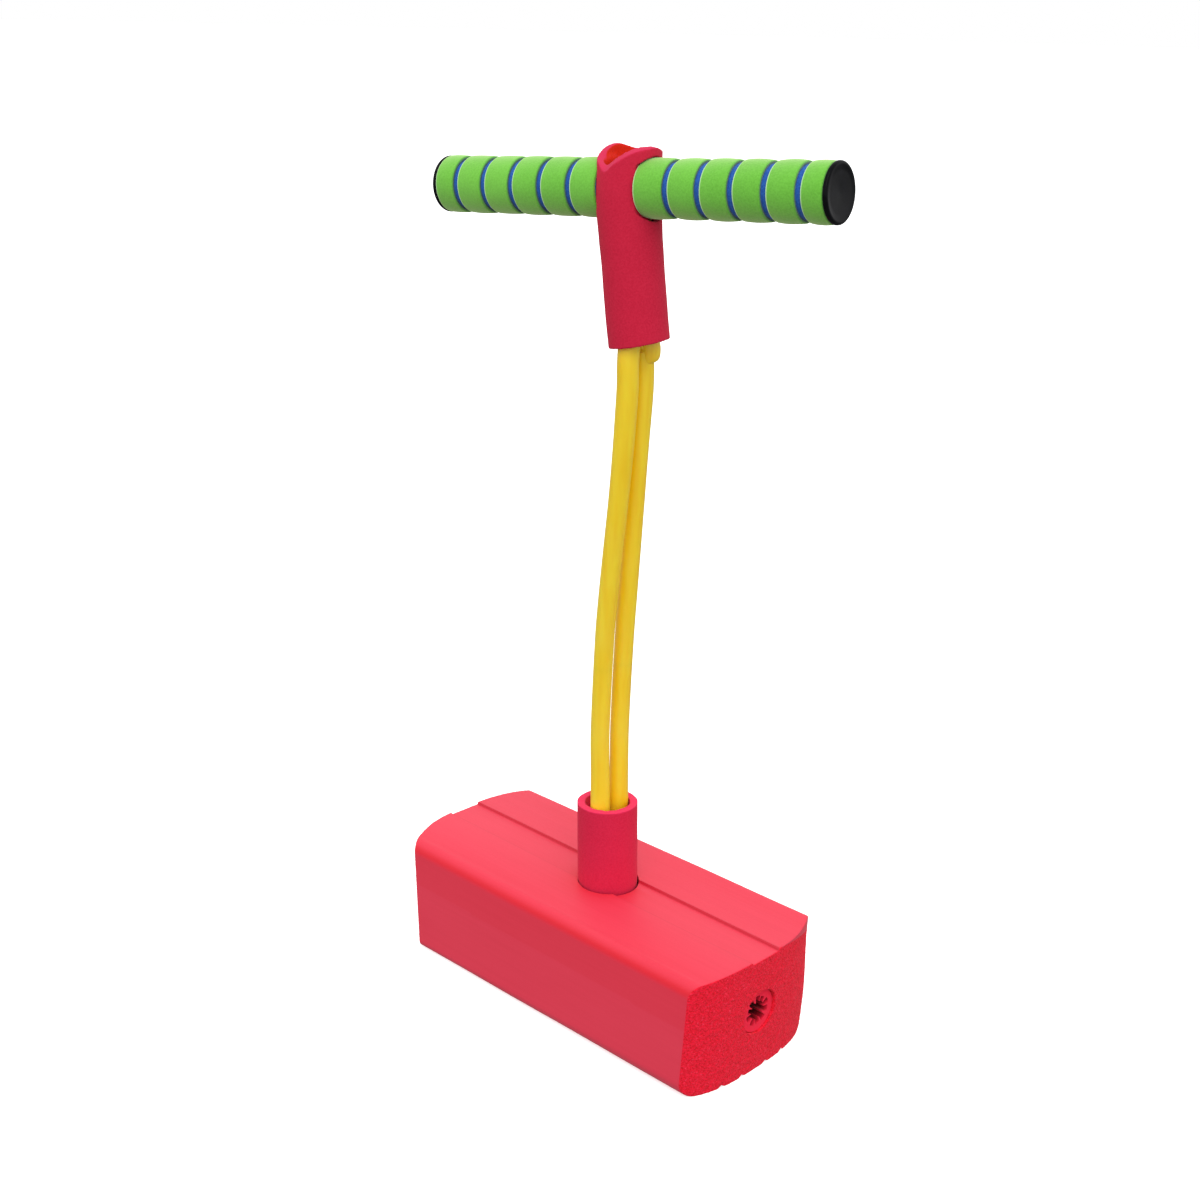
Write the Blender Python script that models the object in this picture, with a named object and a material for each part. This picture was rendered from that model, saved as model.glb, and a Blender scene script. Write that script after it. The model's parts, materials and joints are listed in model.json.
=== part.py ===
"""Soft pogo stick: a foam block, a rubber tube loop, a foam collar and sleeve, and a bar with ringed foam grips.

Metres. X runs along the block, Z is up, and the origin is on the sole under the middle of the block.
"""

import math

import bmesh
import bpy
from mathutils import Matrix, Vector

GAP = 0.0003  # between pieces that touch

# foam block
BLOCK_HALF_LENGTH = 0.1408  # at mid width, at the top
BLOCK_HALF_WIDTH = 0.058
BLOCK_HEIGHT = 0.0848
END_BOW = 0.0125  # how far the corners stand back from the middle of an end
END_SLANT = 0.0050  # how far the foot of an end stands back from its top
CHANNEL_HALF_WIDTH = 0.0125
CHANNEL_DEPTH = 0.0016
CHANNEL_STEP = 0.0005
SHOULDER_DROP = 0.0033  # how far the near shoulder falls from the channel to its corner
FAR_SHOULDER_DROP = 0.0003  # the same on the fuller far side, at the left end
FAR_SHOULDER_LIFT = 0.0027  # how much higher the far corner stands at the right end
TOP_CORNER_Y = 0.052
TOP_CORNER_DROP = 0.0060
SOLE_CORNER_Y = 0.047
SOLE_CORNER_RISE = 0.0110
CORNER_TURNS = (0, 30, 60, 90)  # degrees at which a rounded corner has a column
TOP_COLUMNS = (0.0060, 0.0205, 0.0380, 0.0445)  # further widths where the section is drawn
CUSP_HEIGHT = 0.0016
LOBE_EDGES = (0.0117, 0.0293)  # where the sole's grooves run, from the middle out
LOBE_ROUND = 0.0030
BORE_X = 0.004  # the collar's bore along the block
COLLAR_HOLE_RADIUS = 0.0203
COLLAR_FOOT_Z = 0.0795
CUTTER_REACH = 0.02  # how far a cutter stands out of what it cuts
CUTTER_SIDES = 48
POCKET_LID = 0.001  # how far the loop's pocket reaches into the collar's hole
POCKET_STEPS = 24

# tube that anchors the loop
ANCHOR_Z = 0.0440
ANCHOR_RADIUS = 0.0150
ANCHOR_HALF_LENGTH = 0.1360
STAR_SLOTS = 10
STAR_TIP_RADIUS = 0.0104
STAR_ROOT_RADIUS = 0.0064
STAR_TIP_ANGLE = math.radians(5.0)
STAR_ROOT_ANGLE = math.radians(7.5)

# rubber tube
STRAND_RADIUS = 0.0063
STRAND_BORE_RADIUS = 0.0037
STRAND_HALF_SPACING = 0.0081
STRAND_BEND_Z = 0.0740  # where the strands turn upright under the collar
BEND_RUN = 0.0050
SLEEVE_HALF_SPACING = 0.0073
FLAT_HALF_WIDTH = 0.0080  # the tube where it is squeezed flat over the bar
FLAT_HALF_THICKNESS = 0.0026
FLAT_BORE_HALF_WIDTH = 0.0056
FLAT_BORE_HALF_THICKNESS = 0.0004
TUBE_SIDES = 14
TURN_STEPS = 8  # stations of a quarter turn round the anchor, or of the turn over the bar
RISE_STEPS = 14  # stations of the free run between collar and sleeve
COLLAR_ENTRY = 0.004  # above the collar's foot, where the strands' stations in it start
COLLAR_SHARES = (0.0, 0.25, 0.5, 0.75)
START_SLOPE = (-0.004, -0.002)  # sideways drift of the strands as they leave the collar
END_SLOPE = (0.016, -0.002)  # and as they enter the sleeve
CLOSING_SHARE = 0.97  # of the way up, where the strands draw together
SLEEVE_DEPTHS = (0.075, 0.058, 0.042)  # below the bar, where the tube is still round
SQUEEZE = ((0.028, 0.0082, 0.45), (0.015, 0.0098, 1.0))  # (below the bar, half spacing, flatness)
WRAP_START = -24.0  # degrees round the bar
WRAP_TURN = 114.0
LOWER_TURN = math.radians(-7.5)
TWIST_LOW_Z = 0.26
TWIST_HIGH_Z = 0.40
POCKET_HALF_LENGTH = 0.0072
POCKET_MARGIN = 0.0007

# joiner of the tube's ends
JOINER_TOP_Z = 0.4425
JOINER_HALF_LENGTH = 0.0052
JOINER_RADIUS = 0.0081
JOINER_END_RADIUS = 0.0066
PLUG_RADIUS = 0.0031
PLUG_REACH = 0.0090
PLUG_MARGIN = 0.002  # straight tube beyond the plug's tip
CLEAR_BELOW = 0.008  # least height between the straight tube and the next station
CLEAR_ABOVE = 0.006
JOINER_SIDES = 20

# foam collar
COLLAR_RADIUS = 0.0199
COLLAR_BORE_RADIUS = 0.01485
COLLAR_TOP_Z = 0.1385

# foam sleeve
SLEEVE_RADIUS = 0.01825
SLEEVE_BORE_RADIUS = 0.0140
SLEEVE_BELOW = 0.0925  # below the bar's axis
SLEEVE_ABOVE = 0.0230
SLEEVE_SADDLE = 0.0025
SLEEVE_LEAN = math.radians(3.1)  # to the bar
SLEEVE_HOLE_RADIUS = 0.0173
SLEEVE_HOLE_START = 0.0108

# bar and grips
HANDLE_CENTRE = Vector((0.0162, -0.0102, 0.5373))
HANDLE_YAW = math.radians(8.7)
HANDLE_PITCH = math.radians(3.3)
CORE_RADIUS = 0.0075
CORE_BORE_RADIUS = 0.0060
CORE_HALF_LENGTH = 0.1322
GRIP_START = 0.0125
GRIP_END = 0.1325
GRIP_RADIUS = 0.0170
LAYER_RADIUS = 0.0153
BANDS = 6
BAND_PITCH = 0.0210
GROOVE_HALF_WIDTH = 0.0016
BAND_EDGE_DROP = 0.0006
BAND_EDGE_RUN = 0.0020
CAP_FACE = 0.1354
CAP_RADIUS = 0.0169
CAP_EDGE = 0.0007
CAP_STEM_RADIUS = 0.0057
CAP_STEM_LENGTH = 0.0150

# axis that the strands lean about
LEAN_PIVOT = Vector((0.0041, 0.0, 0.165))

ROUND = 32  # sides of the foam rings
HOLE_SIDES = 40

FOAM_ROUGHNESS = 0.85
CUT_FOAM_ROUGHNESS = 0.7
GRIP_ROUGHNESS = 0.9
RUBBER_ROUGHNESS = 0.4
PLASTIC_ROUGHNESS = 0.5
CAP_ROUGHNESS = 0.12

FOAM_RED = (0.78, 0.05, 0.10)
FOAM_EDGE_RED = (0.62, 0.03, 0.07)
FOAM_GREEN = (0.22, 0.68, 0.13)
FOAM_BLUE = (0.03, 0.12, 0.50)
RUBBER_YELLOW = (0.86, 0.58, 0.04)
TUBE_WHITE = (0.75, 0.75, 0.72)
CAP_BLACK = (0.02, 0.02, 0.025)


def clear_scene():
    for item in list(bpy.data.objects):
        bpy.data.objects.remove(item, do_unlink=True)


def material(name, colour, roughness):
    made = bpy.data.materials.new(name)
    made.use_nodes = True
    shader = made.node_tree.nodes["Principled BSDF"]
    shader.inputs["Base Color"].default_value = (*colour, 1.0)
    shader.inputs["Roughness"].default_value = roughness
    shader.inputs["Metallic"].default_value = 0.0
    return made


def add_object(name, vertices, faces, look=None, matrix=None, smooth_angle=math.radians(40)):
    """A closed mesh with its normals out, placed by matrix."""
    mesh = bpy.data.meshes.new(name)
    mesh.from_pydata([tuple(v) for v in vertices], [], faces)
    work = bmesh.new()
    work.from_mesh(mesh)
    bmesh.ops.recalc_face_normals(work, faces=work.faces)
    work.to_mesh(mesh)
    work.free()
    mesh.validate()
    mesh.shade_smooth()
    mesh.set_sharp_from_angle(angle=smooth_angle)
    if look:
        mesh.materials.append(look)
    made = bpy.data.objects.new(name, mesh)
    bpy.context.scene.collection.objects.link(made)
    if matrix:
        made.matrix_world = matrix
    return made


def loft_faces(loops, around, closed):
    """Quads between neighbouring loops; closed joins the last loop to the first, else both ends get a cap."""
    faces = []
    steps = loops if closed else loops - 1
    for i in range(steps):
        low = i * around
        high = ((i + 1) % loops) * around
        for k in range(around):
            after = (k + 1) % around
            faces.append((low + k, low + after, high + after, high + k))
    if not closed:
        faces.append(tuple(reversed(range(around))))
        faces.append(tuple(range((loops - 1) * around, loops * around)))
    return faces


def loft(name, loops, look, matrix=None, closed=False):
    vertices = [point for loop in loops for point in loop]
    return add_object(name, vertices, loft_faces(len(loops), len(loops[0]), closed), look, matrix)


def circle_x(x, radius, around):
    """A circle round the X axis."""
    turns = [2 * math.pi * k / around for k in range(around)]
    return [(x, radius * math.cos(a), radius * math.sin(a)) for a in turns]


def circle_z(z, radius, around):
    """A circle round the Z axis."""
    turns = [2 * math.pi * k / around for k in range(around)]
    return [(radius * math.cos(a), radius * math.sin(a), z) for a in turns]


def cut(target, cutter):
    cutter.hide_render = True
    cutter.display_type = "WIRE"
    step = target.modifiers.new("cut_" + cutter.name, "BOOLEAN")
    step.operation = "DIFFERENCE"
    step.solver = "EXACT"
    step.object = cutter


# ---------------------------------------------------------------- foam block


def shoulder_drop(end, y):
    """How far the shoulder on y's side falls to its corner, at the block's left (-1) or right (1) end."""
    if y < 0:
        return SHOULDER_DROP
    return FAR_SHOULDER_DROP - FAR_SHOULDER_LIFT * (1 + end) / 2


def block_top(end, y):
    """Height of the top at y: a flat channel between two crowned shoulders with rounded edges."""
    side = abs(y)
    if side <= CHANNEL_HALF_WIDTH:
        return BLOCK_HEIGHT - CHANNEL_DEPTH
    inner = CHANNEL_HALF_WIDTH + CHANNEL_STEP
    along = min(1.0, max(0.0, side - inner) / (TOP_CORNER_Y - inner))
    height = BLOCK_HEIGHT - shoulder_drop(end, y) * along**2
    if side > TOP_CORNER_Y:
        turn = min(1.0, (side - TOP_CORNER_Y) / (BLOCK_HALF_WIDTH - TOP_CORNER_Y))
        height -= TOP_CORNER_DROP * (1.0 - math.sqrt(1.0 - turn**2))
    return height


def block_sole(y):
    """Height of the sole at y: flat lobes between shallow grooves, and a rounded edge."""
    side = abs(y)
    height = 0.0
    for edge in LOBE_EDGES:
        height += CUSP_HEIGHT * max(0.0, 1.0 - abs(side - edge) / LOBE_ROUND) ** 2
    if side > SOLE_CORNER_Y:
        turn = min(1.0, (side - SOLE_CORNER_Y) / (BLOCK_HALF_WIDTH - SOLE_CORNER_Y))
        height += SOLE_CORNER_RISE * (1.0 - math.sqrt(1.0 - turn**2))
    return height


def block_end(y, z):
    """Distance of the block's end face from its middle, at y and z."""
    bow = END_BOW * (abs(y) / BLOCK_HALF_WIDTH) ** 3
    slant = END_SLANT * (1.0 - z / BLOCK_HEIGHT)
    return BLOCK_HALF_LENGTH - bow - slant


def block_columns():
    """The widths, from side to side, where the block's section is drawn."""
    half = {0.0, CHANNEL_HALF_WIDTH, CHANNEL_HALF_WIDTH + CHANNEL_STEP, *TOP_COLUMNS}
    for edge in LOBE_EDGES:
        half.update((edge - LOBE_ROUND, edge - LOBE_ROUND / 2, edge, edge + LOBE_ROUND / 2, edge + LOBE_ROUND))
    for start in (SOLE_CORNER_Y, TOP_CORNER_Y):
        reach = BLOCK_HALF_WIDTH - start
        half.update(start + reach * math.sin(math.radians(a)) for a in CORNER_TURNS)
    half = sorted({round(y, 5) for y in half})
    return [-y for y in reversed(half[1:])] + half


def block_body(look):
    columns = block_columns()
    vertices = []
    for end in (-1, 1):
        for y in columns:
            for z in (block_sole(y), block_top(end, y)):
                vertices.append((end * block_end(y, z), y, z))
    count = len(columns)
    faces = []
    for j in range(count - 1):
        near = 2 * j
        far = 2 * (count + j)
        faces.append((near, near + 2, near + 3, near + 1))
        faces.append((far, far + 1, far + 3, far + 2))
        faces.append((near, far, far + 2, near + 2))
        faces.append((near + 1, near + 3, far + 3, far + 1))
    for j in (0, count - 1):
        near = 2 * j
        far = 2 * (count + j)
        faces.append((near, near + 1, far + 1, far))
    return add_object("base_block", vertices, faces, look)


def block_cutters():
    """The long bore for the anchor, the collar's hole, and the slot for the loop round the anchor."""
    reach = BLOCK_HALF_LENGTH + CUTTER_REACH
    bore = loft("bore_cutter", [circle_x(x, ANCHOR_RADIUS + GAP, CUTTER_SIDES) for x in (-reach, reach)], None)
    bore.location = (0.0, 0.0, ANCHOR_Z)
    heights = (COLLAR_FOOT_Z - GAP, BLOCK_HEIGHT + CUTTER_REACH)
    hole = loft("hole_cutter", [circle_z(z, COLLAR_HOLE_RADIUS, CUTTER_SIDES) for z in heights], None)
    hole.location = (BORE_X, 0.0, 0.0)
    turns = [math.pi + math.pi * k / POCKET_STEPS for k in range(POCKET_STEPS + 1)]
    radius = ANCHOR_RADIUS + 2 * STRAND_RADIUS + GAP + POCKET_MARGIN
    outline = [(radius * math.cos(a), ANCHOR_Z + radius * math.sin(a)) for a in turns]
    lid = COLLAR_FOOT_Z + POCKET_LID
    outline += [(radius, lid), (-radius, lid)]
    sides = [BORE_X - POCKET_HALF_LENGTH, BORE_X + POCKET_HALF_LENGTH]
    slot = loft("slot_cutter", [[(x, y, z) for y, z in outline] for x in sides], None)
    return [bore, hole, slot]


def make_block():
    block = block_body(material("block_foam", FOAM_RED, FOAM_ROUGHNESS))
    for cutter in block_cutters():
        cut(block, cutter)


def make_anchor():
    """A tube whose bore is a star of narrow slots."""
    around = 4 * STAR_SLOTS
    outer = circle_x(0.0, ANCHOR_RADIUS, around)
    star = []
    for k in range(STAR_SLOTS):
        middle = 2 * math.pi * k / STAR_SLOTS
        corners = (
            (middle - STAR_ROOT_ANGLE, STAR_ROOT_RADIUS),
            (middle - STAR_TIP_ANGLE, STAR_TIP_RADIUS),
            (middle + STAR_TIP_ANGLE, STAR_TIP_RADIUS),
            (middle + STAR_ROOT_ANGLE, STAR_ROOT_RADIUS),
        )
        star += [(0.0, r * math.cos(a), r * math.sin(a)) for a, r in corners]
    shift = [outer[(k - 1) % around] for k in range(around)]
    ends = [-ANCHOR_HALF_LENGTH, ANCHOR_HALF_LENGTH]
    loops = [[(x, y, z) for _, y, z in shift] for x in ends]
    loops += [[(x, y, z) for _, y, z in star] for x in reversed(ends)]
    place = Matrix.Translation((0.0, 0.0, ANCHOR_Z))
    loft("anchor_tube", loops, material("anchor_foam", FOAM_EDGE_RED, CUT_FOAM_ROUGHNESS), place, closed=True)


# ---------------------------------------------------------------- frames of the bar and sleeve


def handle_frame():
    turn = Matrix.Rotation(HANDLE_YAW, 4, "Z") @ Matrix.Rotation(-HANDLE_PITCH, 4, "Y")
    return Matrix.Translation(HANDLE_CENTRE) @ turn


def sleeve_frame():
    return handle_frame() @ Matrix.Rotation(-SLEEVE_LEAN, 4, "Y")


# ---------------------------------------------------------------- rubber tube


def smooth_step(value, low, high):
    t = min(1.0, max(0.0, (value - low) / (high - low)))
    return t * t * (3.0 - 2.0 * t)


def pair_direction(z):
    """Unit vector from one strand to the other at height z."""
    angle = LOWER_TURN + (HANDLE_YAW - LOWER_TURN) * smooth_step(z, TWIST_LOW_Z, TWIST_HIGH_Z)
    return Vector((-math.sin(angle), math.cos(angle), 0.0))


def pair_middle(t):
    """The line midway between the strands, from the collar's top (t = 0) to the sleeve's foot (t = 1)."""
    start = Vector((BORE_X, 0.0, COLLAR_TOP_Z))
    end = sleeve_frame() @ Vector((0.0, 0.0, -SLEEVE_BELOW))
    rise = end.z - start.z
    start_slope = Vector((*START_SLOPE, rise))
    end_slope = Vector((*END_SLOPE, rise))
    t2 = t * t
    t3 = t2 * t
    middle = start * (2 * t3 - 3 * t2 + 1) + start_slope * (t3 - 2 * t2 + t)
    return middle + end * (3 * t2 - 2 * t3) + end_slope * (t3 - t2)


def strand_rise(side):
    """(point, flatness) up one strand, from beside the anchor to the sleeve's foot."""
    turn_radius = ANCHOR_RADIUS + GAP + STRAND_RADIUS
    bend = Vector((STRAND_HALF_SPACING, STRAND_BEND_Z - ANCHOR_Z))
    lift = math.atan2(bend.y, bend.x) - math.acos(turn_radius / bend.length)
    stations = []
    for k in range(TURN_STEPS + 1):
        angle = -math.pi / 2 + (lift + math.pi / 2) * k / TURN_STEPS
        y = turn_radius * math.cos(angle)
        z = ANCHOR_Z + turn_radius * math.sin(angle)
        stations.append(Vector((BORE_X, side * y, z)))
    leave = stations[-1]
    corner = Vector((BORE_X, side * STRAND_HALF_SPACING, STRAND_BEND_Z))
    before = corner + (leave - corner).normalized() * BEND_RUN
    after = corner + Vector((0.0, 0.0, BEND_RUN))
    stations += [before, (before + 2 * corner + after) / 4, after]
    for share in COLLAR_SHARES:
        height = COLLAR_FOOT_Z + COLLAR_ENTRY + share * (COLLAR_TOP_Z - COLLAR_FOOT_Z)
        turned = min(1.0, share * 2)
        along = Vector((0.0, 1.0, 0.0)).lerp(pair_direction(height), turned).normalized()
        stations.append(Vector((BORE_X, 0.0, height)) + STRAND_HALF_SPACING * side * along)
    for k in range(RISE_STEPS + 1):
        t = k / RISE_STEPS
        middle = pair_middle(t)
        near_sleeve = smooth_step(t, CLOSING_SHARE, 1.0)
        spacing = STRAND_HALF_SPACING + (SLEEVE_HALF_SPACING - STRAND_HALF_SPACING) * near_sleeve
        stations.append(middle + spacing * side * pair_direction(middle.z))
    return [(point, 0.0) for point in stations]


def strand_over_bar(side):
    """(point, flatness) from the sleeve's foot up to the top of the bar, where the tube lies flat on the core."""
    frame = sleeve_frame()
    turn_radius = CORE_RADIUS + GAP + FLAT_HALF_THICKNESS
    stations = []
    for below in SLEEVE_DEPTHS:
        stations.append((frame @ Vector((0.0, side * SLEEVE_HALF_SPACING, -below)), 0.0))
    for below, spacing, flat in SQUEEZE:
        stations.append((frame @ Vector((0.0, side * spacing, -below)), flat))
    bar = handle_frame()
    for k in range(1, TURN_STEPS + 1):
        angle = math.radians(WRAP_START + WRAP_TURN * k / TURN_STEPS)
        point = Vector((0.0, side * turn_radius * math.cos(angle), turn_radius * math.sin(angle)))
        stations.append((bar @ point, 1.0))
    return stations


def loop_stations():
    """(point, flatness) all round the loop, from under the joiner to above it."""
    far = strand_rise(1)
    near = strand_rise(-1)
    joiner = joiner_frame().translation
    axis = joiner_frame().col[2].to_3d()
    half = JOINER_HALF_LENGTH + GAP
    straight = half + PLUG_REACH + PLUG_MARGIN
    low = joiner - axis * half
    low_free = joiner - axis * straight
    high = joiner + axis * half
    high_free = joiner + axis * straight
    below = [s for s in far if s[0].z < low_free.z - CLEAR_BELOW]
    over = [s for s in strand_over_bar(1) if s[0].z > high_free.z + CLEAR_ABOVE]
    return (
        [(low, 0.0), (low_free, 0.0)]
        + list(reversed(below))
        + near[1:]
        + strand_over_bar(-1)
        + list(reversed(over))[1:]
        + [(high_free, 0.0), (high, 0.0)]
    )


def joiner_frame():
    """Frame at the joiner's middle, with Z up along the far strand."""
    points = [point for point, _ in strand_rise(1)]
    level = JOINER_TOP_Z - JOINER_HALF_LENGTH
    index = next(i for i, point in enumerate(points) if point.z > level)
    low, high = points[index - 1], points[index]
    middle = low.lerp(high, (level - low.z) / (high.z - low.z))
    along = (high - low).normalized()
    return Matrix.Translation(middle) @ along.to_track_quat("Z", "X").to_matrix().to_4x4()


def section(centre, across, thick, half_width, half_thickness):
    turns = [2 * math.pi * k / TUBE_SIDES for k in range(TUBE_SIDES)]
    return [centre + across * half_width * math.cos(a) + thick * half_thickness * math.sin(a) for a in turns]


def make_loop():
    stations = loop_stations()
    points = [point for point, _ in stations]
    outer = []
    inner = []
    for i, (point, flat) in enumerate(stations):
        before = points[max(0, i - 1)]
        after = points[min(len(points) - 1, i + 1)]
        tangent = (after - before).normalized()
        yaw = smooth_step(point.z, TWIST_LOW_Z, TWIST_HIGH_Z) * (HANDLE_YAW - LOWER_TURN) + LOWER_TURN
        along_bar = Vector((math.cos(yaw), math.sin(yaw), 0.0))
        across = (along_bar - tangent * along_bar.dot(tangent)).normalized()
        thick = tangent.cross(across)
        width = STRAND_RADIUS + (FLAT_HALF_WIDTH - STRAND_RADIUS) * flat
        depth = STRAND_RADIUS + (FLAT_HALF_THICKNESS - STRAND_RADIUS) * flat
        bore_width = STRAND_BORE_RADIUS + (FLAT_BORE_HALF_WIDTH - STRAND_BORE_RADIUS) * flat
        bore_depth = STRAND_BORE_RADIUS + (FLAT_BORE_HALF_THICKNESS - STRAND_BORE_RADIUS) * flat
        outer.append(section(point - LEAN_PIVOT, across, thick, width, depth))
        inner.append(section(point - LEAN_PIVOT, across, thick, bore_width, bore_depth))
    loops = outer + list(reversed(inner))
    place = Matrix.Translation(LEAN_PIVOT)
    loft("bungee_loop", loops, material("loop_rubber", RUBBER_YELLOW, RUBBER_ROUGHNESS), place, closed=True)


def make_joiner():
    """A barrel between the tube's two ends, with a plug into each."""
    half = JOINER_HALF_LENGTH
    profile = (
        (-half - PLUG_REACH, PLUG_RADIUS),
        (-half, PLUG_RADIUS),
        (-half, JOINER_END_RADIUS),
        (-half / 2, JOINER_RADIUS),
        (half / 2, JOINER_RADIUS),
        (half, JOINER_END_RADIUS),
        (half, PLUG_RADIUS),
        (half + PLUG_REACH, PLUG_RADIUS),
    )
    loops = [circle_z(z, radius, JOINER_SIDES) for z, radius in profile]
    look = material("joiner_rubber", RUBBER_YELLOW, RUBBER_ROUGHNESS)
    loft("loop_joiner", loops, look, joiner_frame())


# ---------------------------------------------------------------- foam collar and sleeve


def make_collar():
    loops = [circle_z(z, COLLAR_RADIUS, ROUND) for z in (0.0, COLLAR_TOP_Z - COLLAR_FOOT_Z)]
    loops += [circle_z(z, COLLAR_BORE_RADIUS, ROUND) for z in (COLLAR_TOP_Z - COLLAR_FOOT_Z, 0.0)]
    place = Matrix.Translation((BORE_X, 0.0, COLLAR_FOOT_Z))
    loft("lower_collar", loops, material("collar_foam", FOAM_RED, FOAM_ROUGHNESS), place, closed=True)


def saddle_rim(radius, around):
    """The sleeve's mouth: high in front and behind, low over the two grips."""
    rim = []
    for x, y, _ in circle_z(0.0, radius, around):
        dip = (x * x - y * y) / (radius * radius)
        rim.append((x, y, SLEEVE_ABOVE - SLEEVE_SADDLE * dip))
    return rim


def make_sleeve():
    around = ROUND
    loops = [
        circle_z(-SLEEVE_BELOW, SLEEVE_RADIUS, around),
        saddle_rim(SLEEVE_RADIUS, around),
        saddle_rim(SLEEVE_BORE_RADIUS, around),
        circle_z(-SLEEVE_BELOW, SLEEVE_BORE_RADIUS, around),
    ]
    look = material("sleeve_foam", FOAM_RED, FOAM_ROUGHNESS)
    sleeve = loft("upper_sleeve", loops, look, sleeve_frame(), closed=True)
    for side, label in ((-1, "left"), (1, "right")):
        ends = [side * SLEEVE_HOLE_START, side * (SLEEVE_RADIUS + 0.01)]
        rings = [circle_x(x, SLEEVE_HOLE_RADIUS, HOLE_SIDES) for x in ends]
        cut(sleeve, loft("grip_hole_" + label, rings, None, handle_frame()))


# ---------------------------------------------------------------- bar and grips


def make_core():
    ends = [-CORE_HALF_LENGTH, CORE_HALF_LENGTH]
    loops = [circle_x(x, CORE_RADIUS, ROUND) for x in ends]
    loops += [circle_x(x, CORE_BORE_RADIUS, ROUND) for x in reversed(ends)]
    look = material("core_plastic", TUBE_WHITE, PLASTIC_ROUGHNESS)
    loft("handle_core", loops, look, handle_frame(), closed=True)


def make_grip_layer(side, label):
    ends = [side * GRIP_START, side * GRIP_END]
    loops = [circle_x(x, LAYER_RADIUS, ROUND) for x in ends]
    loops += [circle_x(x, CORE_RADIUS + GAP, ROUND) for x in reversed(ends)]
    look = material("blue_foam_" + label, FOAM_BLUE, GRIP_ROUGHNESS)
    loft("grip_layer_" + label, loops, look, handle_frame(), closed=True)


def make_band(side, label, number):
    """One green ring, a little lower at its two edges."""
    start = GRIP_START + (number - 1) * BAND_PITCH
    end = GRIP_END if number == BANDS else start + BAND_PITCH
    low = start + (GROOVE_HALF_WIDTH if number > 1 else 0.0)
    high = end - (GROOVE_HALF_WIDTH if number < BANDS else 0.0)
    profile = (
        (low, GRIP_RADIUS - BAND_EDGE_DROP),
        (low + BAND_EDGE_RUN, GRIP_RADIUS),
        (high - BAND_EDGE_RUN, GRIP_RADIUS),
        (high, GRIP_RADIUS - BAND_EDGE_DROP),
        (high, LAYER_RADIUS + GAP),
        (low, LAYER_RADIUS + GAP),
    )
    loops = [circle_x(side * x, radius, ROUND) for x, radius in profile]
    look = material(f"green_foam_{label}_{number}", FOAM_GREEN, GRIP_ROUGHNESS)
    loft(f"grip_band_{label}_{number}", loops, look, handle_frame(), closed=True)


def make_cap(side, label):
    """A flange over the end of the grip and a stem inside the bar's tube."""
    back = GRIP_END + GAP
    profile = (
        (back - CAP_STEM_LENGTH, CAP_STEM_RADIUS),
        (back, CAP_STEM_RADIUS),
        (back, CAP_RADIUS - CAP_EDGE),
        (back + CAP_EDGE, CAP_RADIUS),
        (CAP_FACE - CAP_EDGE, CAP_RADIUS),
        (CAP_FACE, CAP_RADIUS - CAP_EDGE),
    )
    loops = [circle_x(side * x, radius, ROUND) for x, radius in profile]
    look = material("cap_plastic_" + label, CAP_BLACK, CAP_ROUGHNESS)
    loft("end_cap_" + label, loops, look, handle_frame())


def build():
    clear_scene()
    make_block()
    make_anchor()
    make_loop()
    make_joiner()
    make_collar()
    make_sleeve()
    make_core()
    for side, label in ((-1, "left"), (1, "right")):
        make_grip_layer(side, label)
        for number in range(1, BANDS + 1):
            make_band(side, label, number)
        make_cap(side, label)


build()
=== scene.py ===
"""Looks of the soft pogo stick: foam block, rubber tube loop, foam collar and sleeve, ringed foam grips, end caps.

Metres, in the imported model's own frame: X runs along the block, Z is up, the origin is on the sole.
"""

import json
import math

import bmesh
import bpy
import numpy as np
from mathutils import Matrix, Vector, noise


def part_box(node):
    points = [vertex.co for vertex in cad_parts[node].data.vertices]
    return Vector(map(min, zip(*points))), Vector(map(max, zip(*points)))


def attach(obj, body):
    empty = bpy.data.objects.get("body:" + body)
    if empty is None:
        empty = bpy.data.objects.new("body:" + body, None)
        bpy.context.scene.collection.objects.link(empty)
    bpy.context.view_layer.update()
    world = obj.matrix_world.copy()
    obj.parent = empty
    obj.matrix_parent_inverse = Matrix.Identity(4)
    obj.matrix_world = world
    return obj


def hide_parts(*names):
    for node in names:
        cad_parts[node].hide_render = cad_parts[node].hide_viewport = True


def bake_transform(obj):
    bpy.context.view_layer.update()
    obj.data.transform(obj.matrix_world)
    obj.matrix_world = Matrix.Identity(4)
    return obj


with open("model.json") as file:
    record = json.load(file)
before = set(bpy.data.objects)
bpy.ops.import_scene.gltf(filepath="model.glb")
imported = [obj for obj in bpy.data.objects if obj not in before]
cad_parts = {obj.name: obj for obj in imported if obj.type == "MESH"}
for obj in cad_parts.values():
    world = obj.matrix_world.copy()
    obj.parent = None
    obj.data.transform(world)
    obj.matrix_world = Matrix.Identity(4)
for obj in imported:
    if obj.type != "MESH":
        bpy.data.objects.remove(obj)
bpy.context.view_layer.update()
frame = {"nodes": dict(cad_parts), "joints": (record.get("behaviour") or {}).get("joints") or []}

MM = 0.001

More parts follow.
